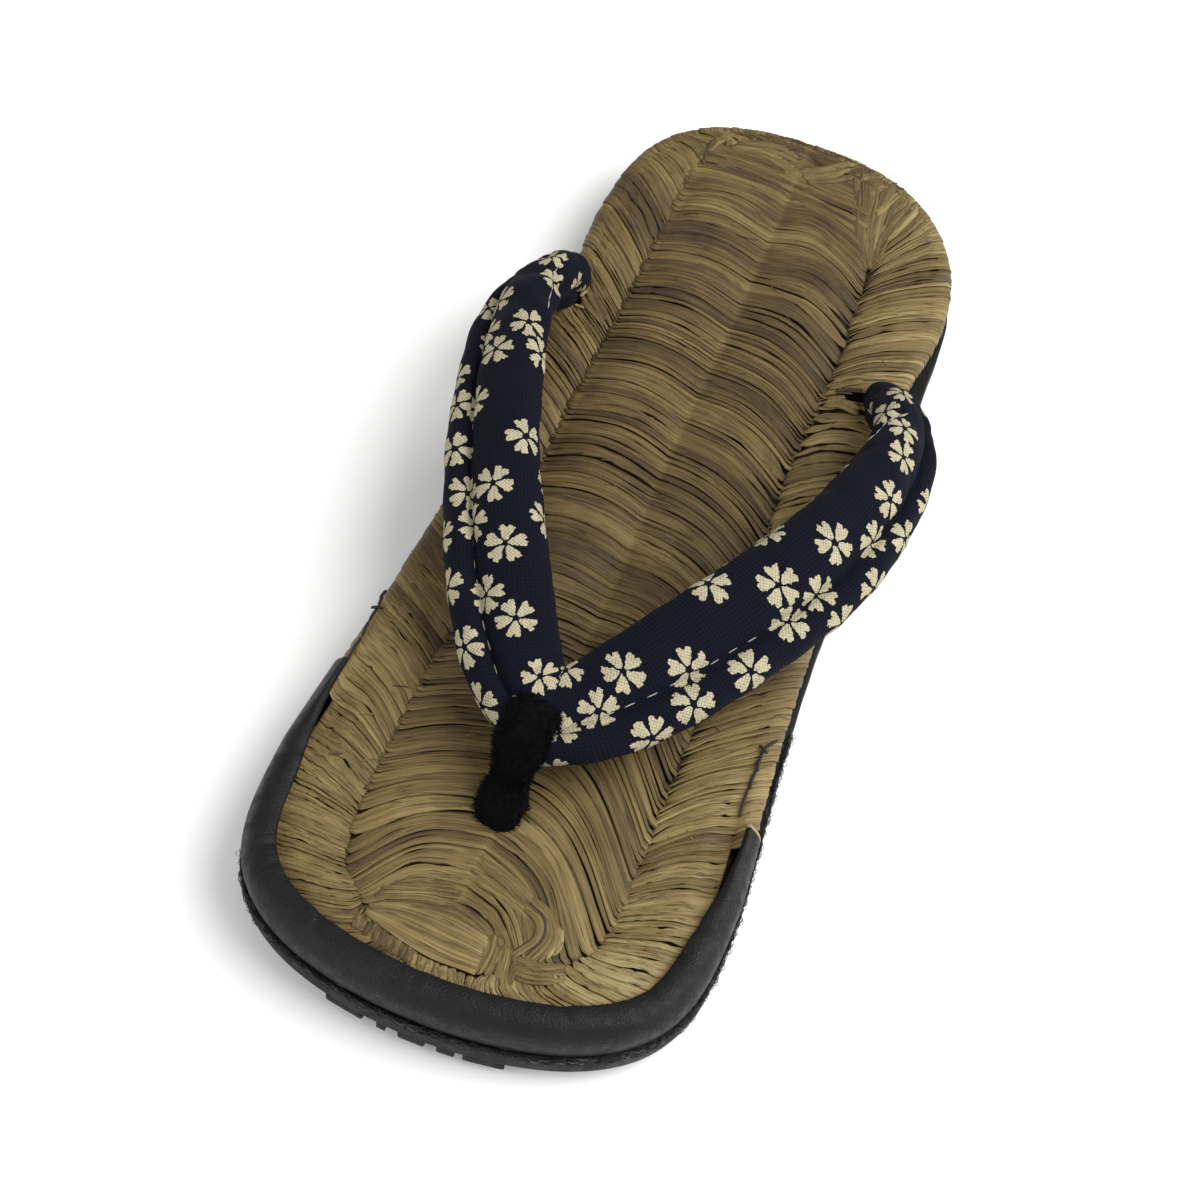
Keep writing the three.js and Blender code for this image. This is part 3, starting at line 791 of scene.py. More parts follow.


# Strands laid over the weave, each sheet fanned out between its first and last strand.
laid = [
    {"first": [(-8.6, -122), (-10.6, -117), (-12.6, -111), (-14, -105), (-17.4, -98), (-20.8, -92.5)],
     "last": [(-21, -119), (-21.2, -115), (-21.4, -111), (-22, -104), (-22.2, -99), (-22.6, -94)],
     "count": 14, "width": 1.3, "tone": 0.42, "lift": -0.2, "ragged": 0.2},
    {"first": [(-13, -121), (-15, -111), (-18, -102), (-21, -93)],
     "last": [(-27, -116), (-24, -109), (-22.4, -102), (-22.6, -95)],
     "count": 7, "width": 1.2, "tone": 0.5, "lift": -0.16, "ragged": 0.2},
    {"first": [(26.4, -109.6), (25.6, -113), (23.6, -116.4), (22.6, -119)],
     "last": [(24.8, -107.8), (24.2, -112.4), (22.4, -116), (20.8, -119.4)],
     "count": 3, "width": 0.65, "tone": 0.6, "lift": 0, "ragged": 0.08},
    {"first": [(27.5, -107.4), (25, -111.6), (24.4, -115.4)],
     "last": [(24.6, -106.4), (25.4, -110.8), (25, -115)],
     "count": 2, "width": 0.7, "tone": 0.3, "lift": 0.16, "ragged": 0.05},
    {"first": [(22.5, -107.6), (12, -108), (3, -107.4)],
     "last": [(22, -111.6), (12, -112.4), (4, -111.6)],
     "count": 6, "width": 1.2, "tone": 0.36, "lift": -0.08, "ragged": 0.05},
    {"first": [(22.5, -106.6), (12, -106.8), (2, -105.6)],
     "last": [(22.5, -107.4), (12, -107.6), (2, -106.6)],
     "count": 2, "width": 0.5, "tone": 0.16, "lift": -0.05, "ragged": 0.08},
    {"first": [(21, -113), (12, -114), (4.5, -113)],
     "last": [(20, -117), (12, -119), (4, -118.5)],
     "count": 6, "width": 1.1, "tone": 0.62, "lift": 0.02, "ragged": 0.07},
    {"first": [(9.6, -114), (7, -116), (3.6, -118)],
     "last": [(10.4, -116.5), (7.4, -118.6), (4, -120.6)],
     "count": 2, "width": 0.5, "tone": 0.2, "lift": 0.06, "ragged": 0.1},
    {"first": [(3.4, -113.4), (-2, -116.6), (-8, -121.6)],
     "last": [(0, -111.4), (-6, -114.4), (-11.4, -119)],
     "count": 4, "width": 1.3, "tone": 0.55, "lift": 0.02, "ragged": 0.12},
    {"first": [(4, -120), (-1, -117.2), (-6, -117.6), (-9.4, -119.4)],
     "last": [(4, -120.6), (-1, -118), (-6, -118.4), (-9, -120.2)],
     "count": 2, "width": 0.4, "tone": 0.16, "lift": 0.04, "ragged": 0.08},
    {"first": [(-4, 105.4), (-4.6, 110), (-5, 114)],
     "last": [(-8.8, 104.6), (-9.4, 109), (-9.4, 113.8)],
     "count": 5, "width": 1.2, "tone": 0.45, "lift": -0.08, "ragged": 0.04},
    {"first": [(17, 108.3), (10, 105.3), (2, 104.7), (-6.8, 106.2)],
     "last": [(17, 110), (10, 112.3), (2, 113.9), (-7.2, 113.8)],
     "count": 11, "width": 0.75, "tone": 0.72, "lift": 0.2, "ragged": 0.006, "blunt": True},
    {"first": [(-9, 94), (-15, 95.8), (-18.3, 100.5), (-17, 108)],
     "last": [(-9, 97), (-13.6, 98.5), (-14.6, 102.5), (-11.5, 108)],
     "count": 7, "width": 0.8, "tone": 0.56, "lift": 0.1, "ragged": 0.05},
    {"first": [(-9.5, 95.2), (-14.6, 97.4), (-16, 102), (-14, 107.6)],
     "last": [(-9.5, 96), (-14.2, 98.2), (-15.3, 102.4), (-13, 107.6)],
     "count": 2, "width": 0.4, "tone": 0.04, "lift": 0.2, "ragged": 0.05},
    {"first": [(-17.8, 97.5), (-18.9, 101), (-18.3, 105.5)],
     "last": [(-18.5, 98), (-19.6, 101.5), (-19, 105)],
     "count": 2, "width": 0.7, "tone": 0.96, "lift": 0.16, "ragged": 0.05},
    {"first": [(-7.4, 104.4), (-8, 108.5), (-7.4, 113.8)],
     "last": [(-12, 106.2), (-13, 109.6), (-14, 113.6)],
     "count": 7, "width": 0.9, "tone": 0.5, "lift": 0.06, "ragged": 0.06},
    {"first": [(-12, 107.4), (-17, 107.6), (-22, 105.4)],
     "last": [(-13.6, 112), (-18, 111.4), (-24, 108.6)],
     "count": 7, "width": 1, "tone": 0.55, "lift": 0, "ragged": 0.08},
    {"first": [(18, 110.6), (17.6, 114.6)],
     "last": [(6, 113.4), (5.6, 117.2)],
     "count": 9, "width": 1.2, "tone": 0.36, "lift": -0.02, "ragged": 0.03},
    {"first": [(5, 114.2), (4.6, 117.6)],
     "last": [(-8, 114.6), (-8.6, 117.6)],
     "count": 9, "width": 1.2, "tone": 0.55, "lift": -0.02, "ragged": 0.03},
    {"first": [(16.5, 103), (8, 99.4), (2.5, 97.2)],
     "last": [(16.8, 106.4), (9, 103), (1.5, 101.4)],
     "count": 6, "width": 0.8, "tone": 0.58, "lift": 0.04, "ragged": 0.1},
    {"first": [(2.6, 88.6), (-5, 91.4), (-13, 96)],
     "last": [(2.4, 94.6), (-5, 96.6), (-12, 99.4)],
     "count": 5, "width": 1.2, "tone": 0.62, "lift": 0.02, "ragged": 0.06},
    {"first": [(34, -50.8), (36.4, -50.4)],
     "last": [(33.8, -50), (36.2, -49.6)],
     "count": 1, "width": 0.6, "tone": 0.98, "lift": 0.5, "ragged": 0.02},
    {"first": [(35.2, -56.2), (36, -53.4)],
     "last": [(35, -55.8), (35.8, -53.2)],
     "count": 1, "width": 0.5, "tone": 0.95, "lift": 0.6, "ragged": 0.02},
    {"first": [(28.6, -51), (32, -54.4), (35.6, -60)],
     "last": [(28.2, -48.6), (33, -51.6), (37, -55)],
     "count": 4, "width": 0.8, "tone": 0.4, "lift": 0.15, "ragged": 0.08},
    {"first": [(-26, -51.6), (-28.6, -52.4), (-31.6, -52.2)],
     "last": [(-26, -53.6), (-28.4, -54.4), (-31.4, -55)],
     "count": 4, "width": 0.45, "tone": 0.2, "lift": 0.2, "ragged": 0.2},
    {"first": [(-24.6, -48.6), (-28, -49.8), (-33, -48.8)],
     "last": [(-24.4, -47.4), (-28, -48.4), (-33, -47.2)],
     "count": 2, "width": 1.2, "tone": 0.6, "lift": 0.3, "ragged": 0.04},
    {"first": [(-24, -55), (-27, -57.8), (-32.6, -60)],
     "last": [(-24, -53.4), (-27, -55.6), (-31.5, -58.2)],
     "count": 2, "width": 1.3, "tone": 0.62, "lift": 0.25, "ragged": 0.05},
]
looseFibres = 50
anchorShadows = [                           # painted shadows: dark sheets laid on the mat in the hollows beside the strap's ends
    {"x": -31.6, "y": -52.6, "long": 3.5, "wide": 1.7, "turn": 8},
    {"x": 36.6, "y": -53.4, "long": 3, "wide": 1.1, "turn": -70},
]


def holeShadows():
    bm = bmesh.new()
    bmesh.ops.create_uvsphere(bm, u_segments=24, v_segments=12, radius=1)
    mesh = asMesh("anchorShadows", copies(bm, len(anchorShadows)))
    flat = coordinates(mesh)
    which = copyOf(flat, len(anchorShadows))
    row = {name: np.array([hole[name] for hole in anchorShadows], float)[which] for name in anchorShadows[0]}
    turn = np.radians(row["turn"])
    a, b = flat[:, 0] * row["long"], flat[:, 1] * row["wide"]
    x = row["x"] + a * np.cos(turn) - b * np.sin(turn)
    y = row["y"] + a * np.sin(turn) + b * np.cos(turn)
    place(mesh, np.stack([x, y, footbedSurface(x, y) + 0.12 + flat[:, 2] * 0.3], -1))
    return mesh


def alongGuide(points, at):
    points = np.asarray(points, float)
    rows = [{"k": k, "x": x, "y": y} for k, (x, y) in enumerate(points)]
    at = np.clip(at, 0, 1) * (len(points) - 1)
    return readTable(rows, "k", "x", at), readTable(rows, "k", "y", at)


def laidStrands():
    total = sum(sheet["count"] for sheet in laid) + looseFibres
    mesh, t, strand, across, height = strandBatch(total, weave["laidRings"])
    own = np.random.default_rng(32)
    x, y, lift = (np.zeros(len(t)) for _ in range(3))
    widths, tones, blunt = np.zeros(total), np.zeros(total), np.zeros(total, bool)
    k = 0
    for sheet in laid:
        for i in range(sheet["count"]):
            mine = strand == k
            at = i / max(sheet["count"] - 1, 1)
            start, end = own.normal(0, sheet["ragged"], 2)
            reach = start + t[mine] * (1 + end - start)
            first, last = alongGuide(sheet["first"], reach), alongGuide(sheet["last"], reach)
            crossing = own.normal(0, sheet["ragged"] * 0.8, 2)
            at = np.clip(at + crossing[0] + (crossing[1] - crossing[0]) * t[mine], 0, 1)
            x[mine] = first[0] + (last[0] - first[0]) * at
            y[mine] = first[1] + (last[1] - first[1]) * at
            widths[k] = sheet["width"] * own.uniform(1.1, 1.7)
            blunt[k] = sheet.get("blunt", False)
            tones[k] = sheet["tone"] + own.normal(0, 0.07)
            lift[mine] = sheet["lift"] + own.uniform(-0.06, 0.08)
            k += 1
    for k in range(k, total):       # fine loose fibres lying about along the weave
        mine = strand == k
        midY = own.uniform(-112, 104)
        midX = own.uniform(-0.85, 0.85) * halfWidth(midY) * 0.9
        turn = own.normal(0, 0.12) + (0.35 if midX > 0 else 2.8)
        turn = turn + 0.25 * (abs(midX) > 27) * np.sign(midX)
        length = own.uniform(3, 8)
        bow = own.normal(0, 0.35)
        x[mine] = midX + math.cos(turn) * (t[mine] - 0.5) * length
        y[mine] = midY + math.sin(turn) * (t[mine] - 0.5) * length + bow * np.sin(np.pi * t[mine])
        widths[k] = own.uniform(0.22, 0.45)
        tones[k] = own.choice([0.06, 0.12, 0.5])
        lift[mine] = own.uniform(-0.05, 0.12)
    taper = np.where(blunt[strand], 1, np.clip(np.minimum(t, 1 - t) * 7, 0.15, 1) ** 0.7)
    alongX, alongY = guideDirection(x, y, t, strand)
    x = x - alongY * across * widths[strand] / 2 * taper
    y = y + alongX * across * widths[strand] / 2 * taper
    thick = np.minimum(widths[strand] * 0.16, 0.2)
    ends = 0.2 * (1 - np.clip(np.minimum(t, 1 - t) * 8, 0, 1))
    z = footbedSurface(x, y) + lift - ends + height * thick * taper
    place(mesh, np.stack([x, y, z], -1))
    storeValue(mesh, "tone", np.clip(tones, 0, 1)[strand])
    storeValue(mesh, "unshaded", np.ones(len(t)))
    grainUv(mesh, t * weave["laidLength"], across, widths[strand], strand, 33)
    return mesh


def guideDirection(x, y, t, strand):
    # every ring of a strand's points still shares its centre, so the next ring gives the direction
    order = np.lexsort((t, strand))
    sortedX, sortedY = x[order], y[order]
    around = weave["around"]
    ringX, ringY = sortedX.reshape(-1, around)[:, 0], sortedY.reshape(-1, around)[:, 0]
    rings = len(ringX) // (strand.max() + 1)
    ringX, ringY = ringX.reshape(-1, rings), ringY.reshape(-1, rings)
    dx, dy = np.gradient(ringX, axis=1), np.gradient(ringY, axis=1)
    length = np.maximum(np.hypot(dx, dy), 1e-6)
    dx, dy = np.repeat((dx / length).ravel(), around), np.repeat((dy / length).ravel(), around)
    alongX, alongY = np.empty_like(x), np.empty_like(y)
    alongX[order], alongY[order] = dx, dy
    return alongX, alongY


def strandMaterial():
    made = newMaterial("bamboo_sheath", **{"Roughness": 0.62, "Specular IOR Level": 0.35})
    grain = uvOf(made, "grain")
    tone = join(made, "ShaderNodeAttribute", attribute_name="tone").outputs["Fac"]
    unshadedShare = join(made, "ShaderNodeAttribute", attribute_name="unshaded").outputs["Fac"]
    fine = noise(made, stretched(made, grain, (90, 2900, 1)), 1, 4, 0.6)
    pleats = noise(made, stretched(made, grain, (55, 1250, 1)), 1, 3, 0.6)
    spots = noise(made, objectPlace(made), 55, 3, 0.6)
    level = calc(made, "ADD", tone, swing(made, spots, 0.55))
    level = calc(made, "ADD", level, swing(made, pleats, 0.8))
    level = calc(made, "ADD", level, swing(made, fine, 0.75))
    hair = noise(made, stretched(made, grain, (46, 1300, 1)), 1, 2, 0.5)
    hair = calc(made, "ABSOLUTE", calc(made, "SUBTRACT", hair, 0.47))
    hair = calc(made, "MINIMUM", calc(made, "MULTIPLY", hair, 34), 1.0)
    colour = ramp(made, level, weave["shades"])
    hairColour = mixColour(made, 1.0, colour, weave["hairShade"], "MULTIPLY")
    colour = mixColour(made, hair, hairColour, colour)
    # painted shade: a strand's colour darkens where its end dives into a valley or runs down the mat's side,
    # read from the unshaded share
    depth = ramp(made, unshadedShare, [(0, (0.4, 0.36, 0.32)), (0.75, (1, 1, 1))])
    colour = mixColour(made, 1.0, colour, depth, "MULTIPLY")
    broad = bump(made, pleats, 0.0006, 0.7)
    lined = bump(made, hair, 0.00012, 0.6, broad)
    toShader(made, Base_Color=colour, Normal=bump(made, fine, 0.00018, 0.6, lined))
    return made


def coreMesh():                     # the warp and padding under the strands, seen only in the slits
    mesh = asMesh("core", bar(64, 90))
    t, turn = barTurns(mesh)
    y = -np.cos(np.pi * t) * (halfLength - 2.2)
    level = np.sin(turn)
    half = np.maximum(halfWidth(y) - weave["coreInset"], 0.4)
    x = squared(np.cos(turn), 0.6) * half + lean(y)
    top = footbedSurface(x, y) - weave["coreBelow"] - 2.2 * (1 - smooth(0, 5, insetOf(x, y)))
    bottom = footbedBottom + 0.15 + rise(y)
    upper = bottom + (top - bottom) * np.clip(np.abs(level) * 3, 0, 1)
    z = np.where(level > 0.02, upper, bottom)
    place(mesh, np.stack([x, y, z], -1))
    return mesh


def makeFootbed():
    sheath = strandMaterial()
    dark = newMaterial("sheath_shadow", **{"Roughness": 0.9})
    fibres = noise(dark, stretched(dark, objectPlace(dark), (300, 2500, 800)), 1, 3)
    toShader(dark, Base_Color=ramp(dark, fibres, weave["coreShades"]))
    piece("footbed_core", coreMesh(), [dark], ["woven_footbed"])
    piece("footbed_middle_strands", middleStrands(), [sheath])
    piece("footbed_border_strands", borderStrands(), [sheath])
    piece("footbed_laid_strands", laidStrands(), [sheath])
    # painted shadow: a near-black, matt sheet for the shade in the hollows
    hollowShadow = newMaterial("anchor_hollow_shadow", **{
        "Base Color": (*weave["hollowShadow"], 1), "Roughness": 1.0, "Specular IOR Level": 0.0,
    })
    piece("anchor_hollow_shadows", holeShadows(), [hollowShadow])


makeFootbed()
print("footbed woven")


# The leather rim round the toe.

rim = {
    "rightEnd": 117.65,           # degrees round the outline
    "leftEnd": 240,
    "lip": 7,
    "lipAtEnds": 3.4,
    "widening": 34,
    "wall": 2,
    "section": [                  # inset from the outline, and height above the slab
        (1, 0), (0.3, 2), (0, 4.4), (0.5, 7), (2, 9.1), (4.2, 9.9), (6.3, 9.6), (7, 8.9),
        (6.5, 8.1), (4.4, 7.9), (2.9, 7.1), (2.1, 5.6), (2, 3), (2.6, 0),
    ],
    "waviness": 0.16,
    "creases": [                  # soft troughs across the rim
        {"at": 131, "wide": 1.6, "deep": 0.25}, {"at": 149, "wide": 1.1, "deep": 0.3},
        {"at": 153.5, "wide": 0.9, "deep": 0.25}, {"at": 166, "wide": 1.4, "deep": 0.22},
        {"at": 179, "wide": 1.2, "deep": 0.18}, {"at": 196, "wide": 1.3, "deep": 0.3},
        {"at": 207, "wide": 1, "deep": 0.3}, {"at": 212, "wide": 1.5, "deep": 0.25},
        {"at": 226, "wide": 1.2, "deep": 0.2},
    ],
    "colour": (0.0075, 0.0075, 0.0074),
    "raw": (0.3, 0.22, 0.13),     # the cut edge at the left end
    "rawRadius": 0.34,
}


def closedCurve(points, at):        # a smooth closed line through points, read at places counted in points
    points = np.asarray(points, float)
    count = len(points)
    i = np.floor(at).astype(int)
    f = (at - i)[:, None]
    p0, p1, p2, p3 = (points[(i + k) % count] for k in (-1, 0, 1, 2))
    bend, twist = 2 * p0 - 5 * p1 + 4 * p2 - p3, 3 * p1 - p0 - 3 * p2 + p3
    return 0.5 * (2 * p1 + (p2 - p0) * f + bend * f ** 2 + twist * f ** 3)


def leatherMaterial():
    made = newMaterial("rim_leather", **{"Roughness": 0.5, "Specular IOR Level": 0.17})
    where = objectPlace(made)
    inputs = {"Vector": where, "Scale": 1500.0}
    cells = join(made, "ShaderNodeTexVoronoi", inputs, feature="DISTANCE_TO_EDGE")
    pores = calc(made, "MINIMUM", calc(made, "MULTIPLY", cells.outputs["Distance"], 3.0), 1.0)
    soft = noise(made, where, 160, 4, 0.6)
    shade = mixColour(made, soft, [0.5 * c for c in rim["colour"]], [1.7 * c for c in rim["colour"]])
    worn = ramp(made, noise(made, where, 420, 3), [(0.35, (0.38, 0.38, 0.38)), (0.7, (0.62, 0.62, 0.62))])
    toShader(made, Base_Color=shade, Roughness=worn)
    toShader(made, Normal=bump(made, pores, 0.00013, 0.5, bump(made, soft, 0.0008, 0.5)))
    return made


def rimPoints(arc, turn, proud=0):
    start, end = arcAt(rim["rightEnd"]), arcAt(rim["leftEnd"])
    section = closedCurve(rim["section"], turn / (2 * np.pi) * len(rim["section"]) + len(rim["section"]))
    edgeY = outline(arc)[1]
    endY = outline(np.where(arc > girth / 2, end, start))[1]
    widening = smooth(0, rim["widening"], edgeY - endY)
    lip = rim["lipAtEnds"] + (rim["lip"] - rim["lipAtEnds"]) * widening
    lip = (lip - rim["wall"]) / (rim["lip"] - rim["wall"])
    inset = section[:, 0]
    inset = np.where(inset < rim["wall"], inset, rim["wall"] + (inset - rim["wall"]) * lip)
    height = section[:, 1]
    swell = proud + wander(arc / 7, 31, 6) * rim["waviness"] * smooth(3, 9, height)
    for crease in rim["creases"]:
        askew = (inset - 3) * 0.25
        across = (arc + askew - arcAt(crease["at"])) / crease["wide"]
        swell = swell - crease["deep"] * np.exp(-across ** 2) * smooth(5, 9, height)
    x, y = outline(arc, inset + swell * 0.4)
    return np.stack([x, y, footbedBottom + height + swell + rise(edgeY)], -1)


def makeRim():
    mesh = asMesh("rim", bar(44, 300))
    t, turn = barTurns(mesh)
    start, end = arcAt(rim["rightEnd"]), arcAt(rim["leftEnd"])
    place(mesh, rimPoints(start + (end - start) * t, turn))
    piece("leather_rim", mesh, [leatherMaterial()], ["toe_rim"])

    raw = newMaterial("raw_edge", **{"Base Color": (*rim["raw"], 1), "Roughness": 0.85})
    mesh = asMesh("raw_edge", bar(8, 20))
    t, turn = barTurns(mesh)
    around = 2 * np.pi * (2.2 + 4.6 * t) / len(rim["section"])
    radius = rim["rawRadius"] * roundedEnds(t, 4, 0.05)
    place(mesh, rimPoints(end + 0.25 + radius * np.cos(turn), around, radius * np.sin(turn)))
    piece("rim_raw_edge", mesh, [raw])


makeRim()
print("rim swept")


# The padded cloth strap.

strap = {
    "columns": ("x", "y", "z", "width", "thick", "lean"),
    "right": [            # along the arm from the loop, leaning outward by degrees
        (-3, 65, 27, 15, 9.5, 4), (9, 54.5, 28.5, 19.5, 10.5, 8), (20, 37, 31.5, 21.5, 11.5, 13),
        (29, 19, 34, 20.5, 11.5, 19), (36.3, 0, 34.5, 20, 11.5, 26),
        (41.8, -20, 33, 19.5, 11, 34), (44.2, -37, 29.5, 18.5, 10.5, 42),
        (42.8, -50, 25, 15.5, 10, 44), (41.2, -57.6, 18.5, 11.5, 8.5, 30),
        (39.8, -59.8, 11, 9, 7.5, 20),
    ],
    "left": [
        (4, 66, 26.5, 15, 9.5, 4), (-8, 56.5, 28, 21.5, 10.5, 8), (-19.5, 42.5, 31, 24, 11.5, 13),
        (-30, 26.5, 33.5, 24, 11.5, 18), (-39.5, 8, 34.5, 23, 11.5, 26),
        (-45.2, -13, 33, 20.5, 11, 34), (-46, -30, 29.5, 18, 10.5, 42),
        (-42.8, -44, 25, 15, 10, 44), (-37.8, -52.4, 18.5, 10.8, 8.5, 30),
        (-36.2, -54.8, 11, 8.4, 7.5, 20),
    ],
    "section": [          # across and up, as shares of the width and thickness
        (-0.5, 0), (-0.46, 0.27), (-0.34, 0.43), (-0.14, 0.5), (0.04, 0.45), (0.13, 0.35),
        (0.18, 0.2), (0.23, 0.32), (0.34, 0.38), (0.45, 0.24), (0.5, 0), (0.43, -0.3),
        (0.22, -0.46), (-0.1, -0.5), (-0.36, -0.41), (-0.48, -0.22),
    ],
    "nominal": (20, 11),
    "navy": (0.0045, 0.0046, 0.0095),
    "cream": (0.44, 0.4, 0.265),
    "thread": 0.56,
    "bias": 42,           # the cloth's threads run aslant, in degrees
    "petal": {"middle": 2.45, "half": 1.75, "spread": 0.37, "root": 0.24, "tip": 3.55, "notch": 1.4},
    "hidden": (29, 50),   # round the strap, where blossoms are scattered by chance
    "apart": 9.3,         # the least between two of them
    "tries": 4000,
    "rightBlossoms": [    # round the strap and along it in millimetres, and the turn of one petal
        (12, 0, 18), (1.5, 8.5, 0), (9.3, 11.2, 18), (26.3, 11.8, 40), (10.6, 25.4, 0),
        (24.2, 22.6, 60), (16.1, 32.3, 38), (25.4, 36, 26), (10.3, 42, 30), (17.3, 48.9, 33),
        (26.6, 47.5, 10), (0.3, 48.5, 0), (11.3, 56, 54), (19.3, 56.3, 38), (4, 67, 0),
        (21.8, 67, 45), (16.2, 78.5, 28), (22.2, 79, 50), (24.6, 88.3, 20), (11.3, 91, 28),
        (0.2, 91.8, 10), (4.4, 98.6, 45), (15.4, 98.6, 30), (14, 109, 20), (0.6, 117.6, 12),
        (5.9, 125.3, 62), (20.5, 110, 30), (21, 137, 5), (47.4, 129.6, 15),
    ],
    "leftBlossoms": [
        (3.2, 4.6, 20), (4.6, 12.8, 48), (18, 7.4, 30), (15, 15.8, 20), (10.4, 23.8, 38),
        (25.3, 22.6, 0), (23.2, 32.3, 8), (15.6, 35.3, 20), (22.8, 45.3, 12), (4.4, 48.9, 2),
        (11.3, 60.1, 20), (19.2, 58, 22), (17.6, 66.7, 30), (0.4, 67, 10), (26.6, 68, 0),
        (11, 75.6, 32), (25.2, 78, 24), (16.8, 84.6, 18), (12.8, 93.6, 65), (23.5, 91.7, 40),
        (9.4, 105.2, 15), (24.6, 103.5, 12), (6.6, 112.8, 20), (0.6, 119.4, 44), (5.5, 127.5, 30),
        (21, 134, 0), (47, 131, 10),
    ],
    "leftCreases": [(1.4, 115, 8, 0.75, 57, 1.3), (15, 104, 8, 1.2, 84, 0.5)],
    "rightCreases": [
        (-2.6, 121.4, 4, 1.6, 100, 2.3), (1.6, 121, 7, 0.7, 77, 1.2), (9, 128, 5, 0.8, 60, 0.7),
    ],
    "leftTuck": [(-1, 107.5), (0.6, 111.5), (2.8, 115), (6.6, 119.8)],      # seam lines on the folds
    "rightTuck": [(0.4, 106), (0.4, 112), (1, 118), (2.6, 124)],
    "creases": [          # round, along, length, width, turn and depth; ridges where negative
        (9, 7, 6, 1.6, 70, 0.5), (4, 104, 9, 1.8, 25, 0.45), (8, 118, 7, 2, 10, 0.6),
        (13, 125, 8, 1.8, -20, 0.7), (6, 134, 8, 1.6, 5, 0.6), (20, 124, 6, 1.4, 30, 0.5),
        (12, 36, 10, 2.4, 80, 0.25), (6, 60, 9, 2.6, 60, 0.2), (22, 90, 9, 2, 75, 0.3),
        (3, 86, 8, 2, -15, 0.3), (10, 112, 8, 2.4, 30, -0.4), (46, 110, 10, 3, 0, 0.5),
    ],
    "folds": [            # where each end's inner edge is tucked in: x, y, z and half thickness
        [(42, -43.8, 22.5, 1.8), (40, -49, 20, 3.2), (39.4, -55, 17, 3.3)],
        [(-39.6, -41, 22, 1.6), (-37, -46.6, 19.5, 2.8), (-36.2, -52.4, 16.5, 2.9)],
    ],
    "rightSeam": (18.6, -0.9),
    "leftSeam": (16.2, 1.9),
    "tuckRadius": 0.26,
    "stitch": {
        "every": 4.7, "length": 2.3, "radius": 0.17, "from": 16, "to": 127, "colour": (0.3, 0.29, 0.26),
    },
}


def armPlaces(rows):                # how far along the arm each row lies
    rows = np.array(rows, float)
    steps = np.linalg.norm(np.diff(rows[:, :3], axis=0), axis=1)
    return np.concatenate([[0], np.cumsum(steps)])


def armTable(rows, u):
    table = [dict(zip(strap["columns"], row), u=at) for row, at in zip(rows, armPlaces(rows))]
    u = np.clip(u, 0, table[-1]["u"])
    return [readTable(table, "u", name, u) for name in strap["columns"]]


sectionTurns = np.linspace(0, len(strap["section"]), 1601)
sectionLine = closedCurve(strap["section"], sectionTurns)
sectionSteps = np.linalg.norm(np.diff(sectionLine * strap["nominal"], axis=0), axis=1)
sectionRound = np.concatenate([[0], np.cumsum(sectionSteps)])
strapGirth = sectionRound[-1]


def shortWay(gap):                  # the shorter way round the strap
    return np.mod(gap + strapGirth / 2, strapGirth) - strapGirth / 2


def strapPoints(side, u, v, proud=0):    # places on an arm, from how far along and round it they are
    rows = strap["right" if side > 0 else "left"]
    x, y, z, width, thick, leaning = armTable(rows, u)
    ahead, behind = armTable(rows, u + 0.4), armTable(rows, u - 0.4)
    along = np.stack([ahead[k] - behind[k] for k in range(3)], -1)
    along /= np.linalg.norm(along, axis=1)[:, None]
    level = np.cross([0, 0, 1.0], along) * side
    level /= np.linalg.norm(level, axis=1)[:, None]
    face = np.array([0, 0, 1.0]) - along * along[:, 2:]
    face /= np.linalg.norm(face, axis=1)[:, None]
    tilt = np.radians(leaning)[:, None]
    outward = np.cos(tilt) * level - np.sin(tilt) * face
    normal = np.cos(tilt) * face + np.sin(tilt) * level
    turns = np.interp(np.mod(v, strapGirth), sectionRound, sectionTurns)
    section = closedCurve(strap["section"], turns)
    offset = outward * (section[:, 0] * width)[:, None] + normal * (section[:, 1] * thick)[:, None]
    away = offset / np.linalg.norm(offset, axis=1)[:, None]
    swell = proud + 0.22 * np.sin(u * 0.19 + side) * np.sin(v * 0.35) + 0.12 * np.sin(u * 0.55 + v * 0.3)
    creases = strap["creases"] + strap["rightCreases" if side > 0 else "leftCreases"]
    for creaseV, creaseU, length, wide, turn, deep in creases:
        apart = shortWay(v - creaseV)
        a = math.radians(turn)
        lengthways = apart * math.cos(a) + (u - creaseU) * math.sin(a)
        crossways = -apart * math.sin(a) + (u - creaseU) * math.cos(a)
        swell = swell - deep * np.exp(-(lengthways / length) ** 2 - (crossways / wide) ** 2)
    return np.stack([x, y, z], -1) + offset + away * np.asarray(swell)[:, None]


def scattered(charted, length, seed):    # more blossoms on the sides that lie hidden
    own = np.random.default_rng(seed)
    blossoms = list(charted)
    for _ in range(strap["tries"]):
        v, u = own.uniform(*strap["hidden"]), own.uniform(2, length - 4)
        apart = [np.hypot(shortWay(v - blossom[0]), u - blossom[1]) for blossom in blossoms]
        if min(apart) > strap["apart"]:
            blossoms.append((v, u, own.uniform(0, 72)))
    return np.array(blossoms)


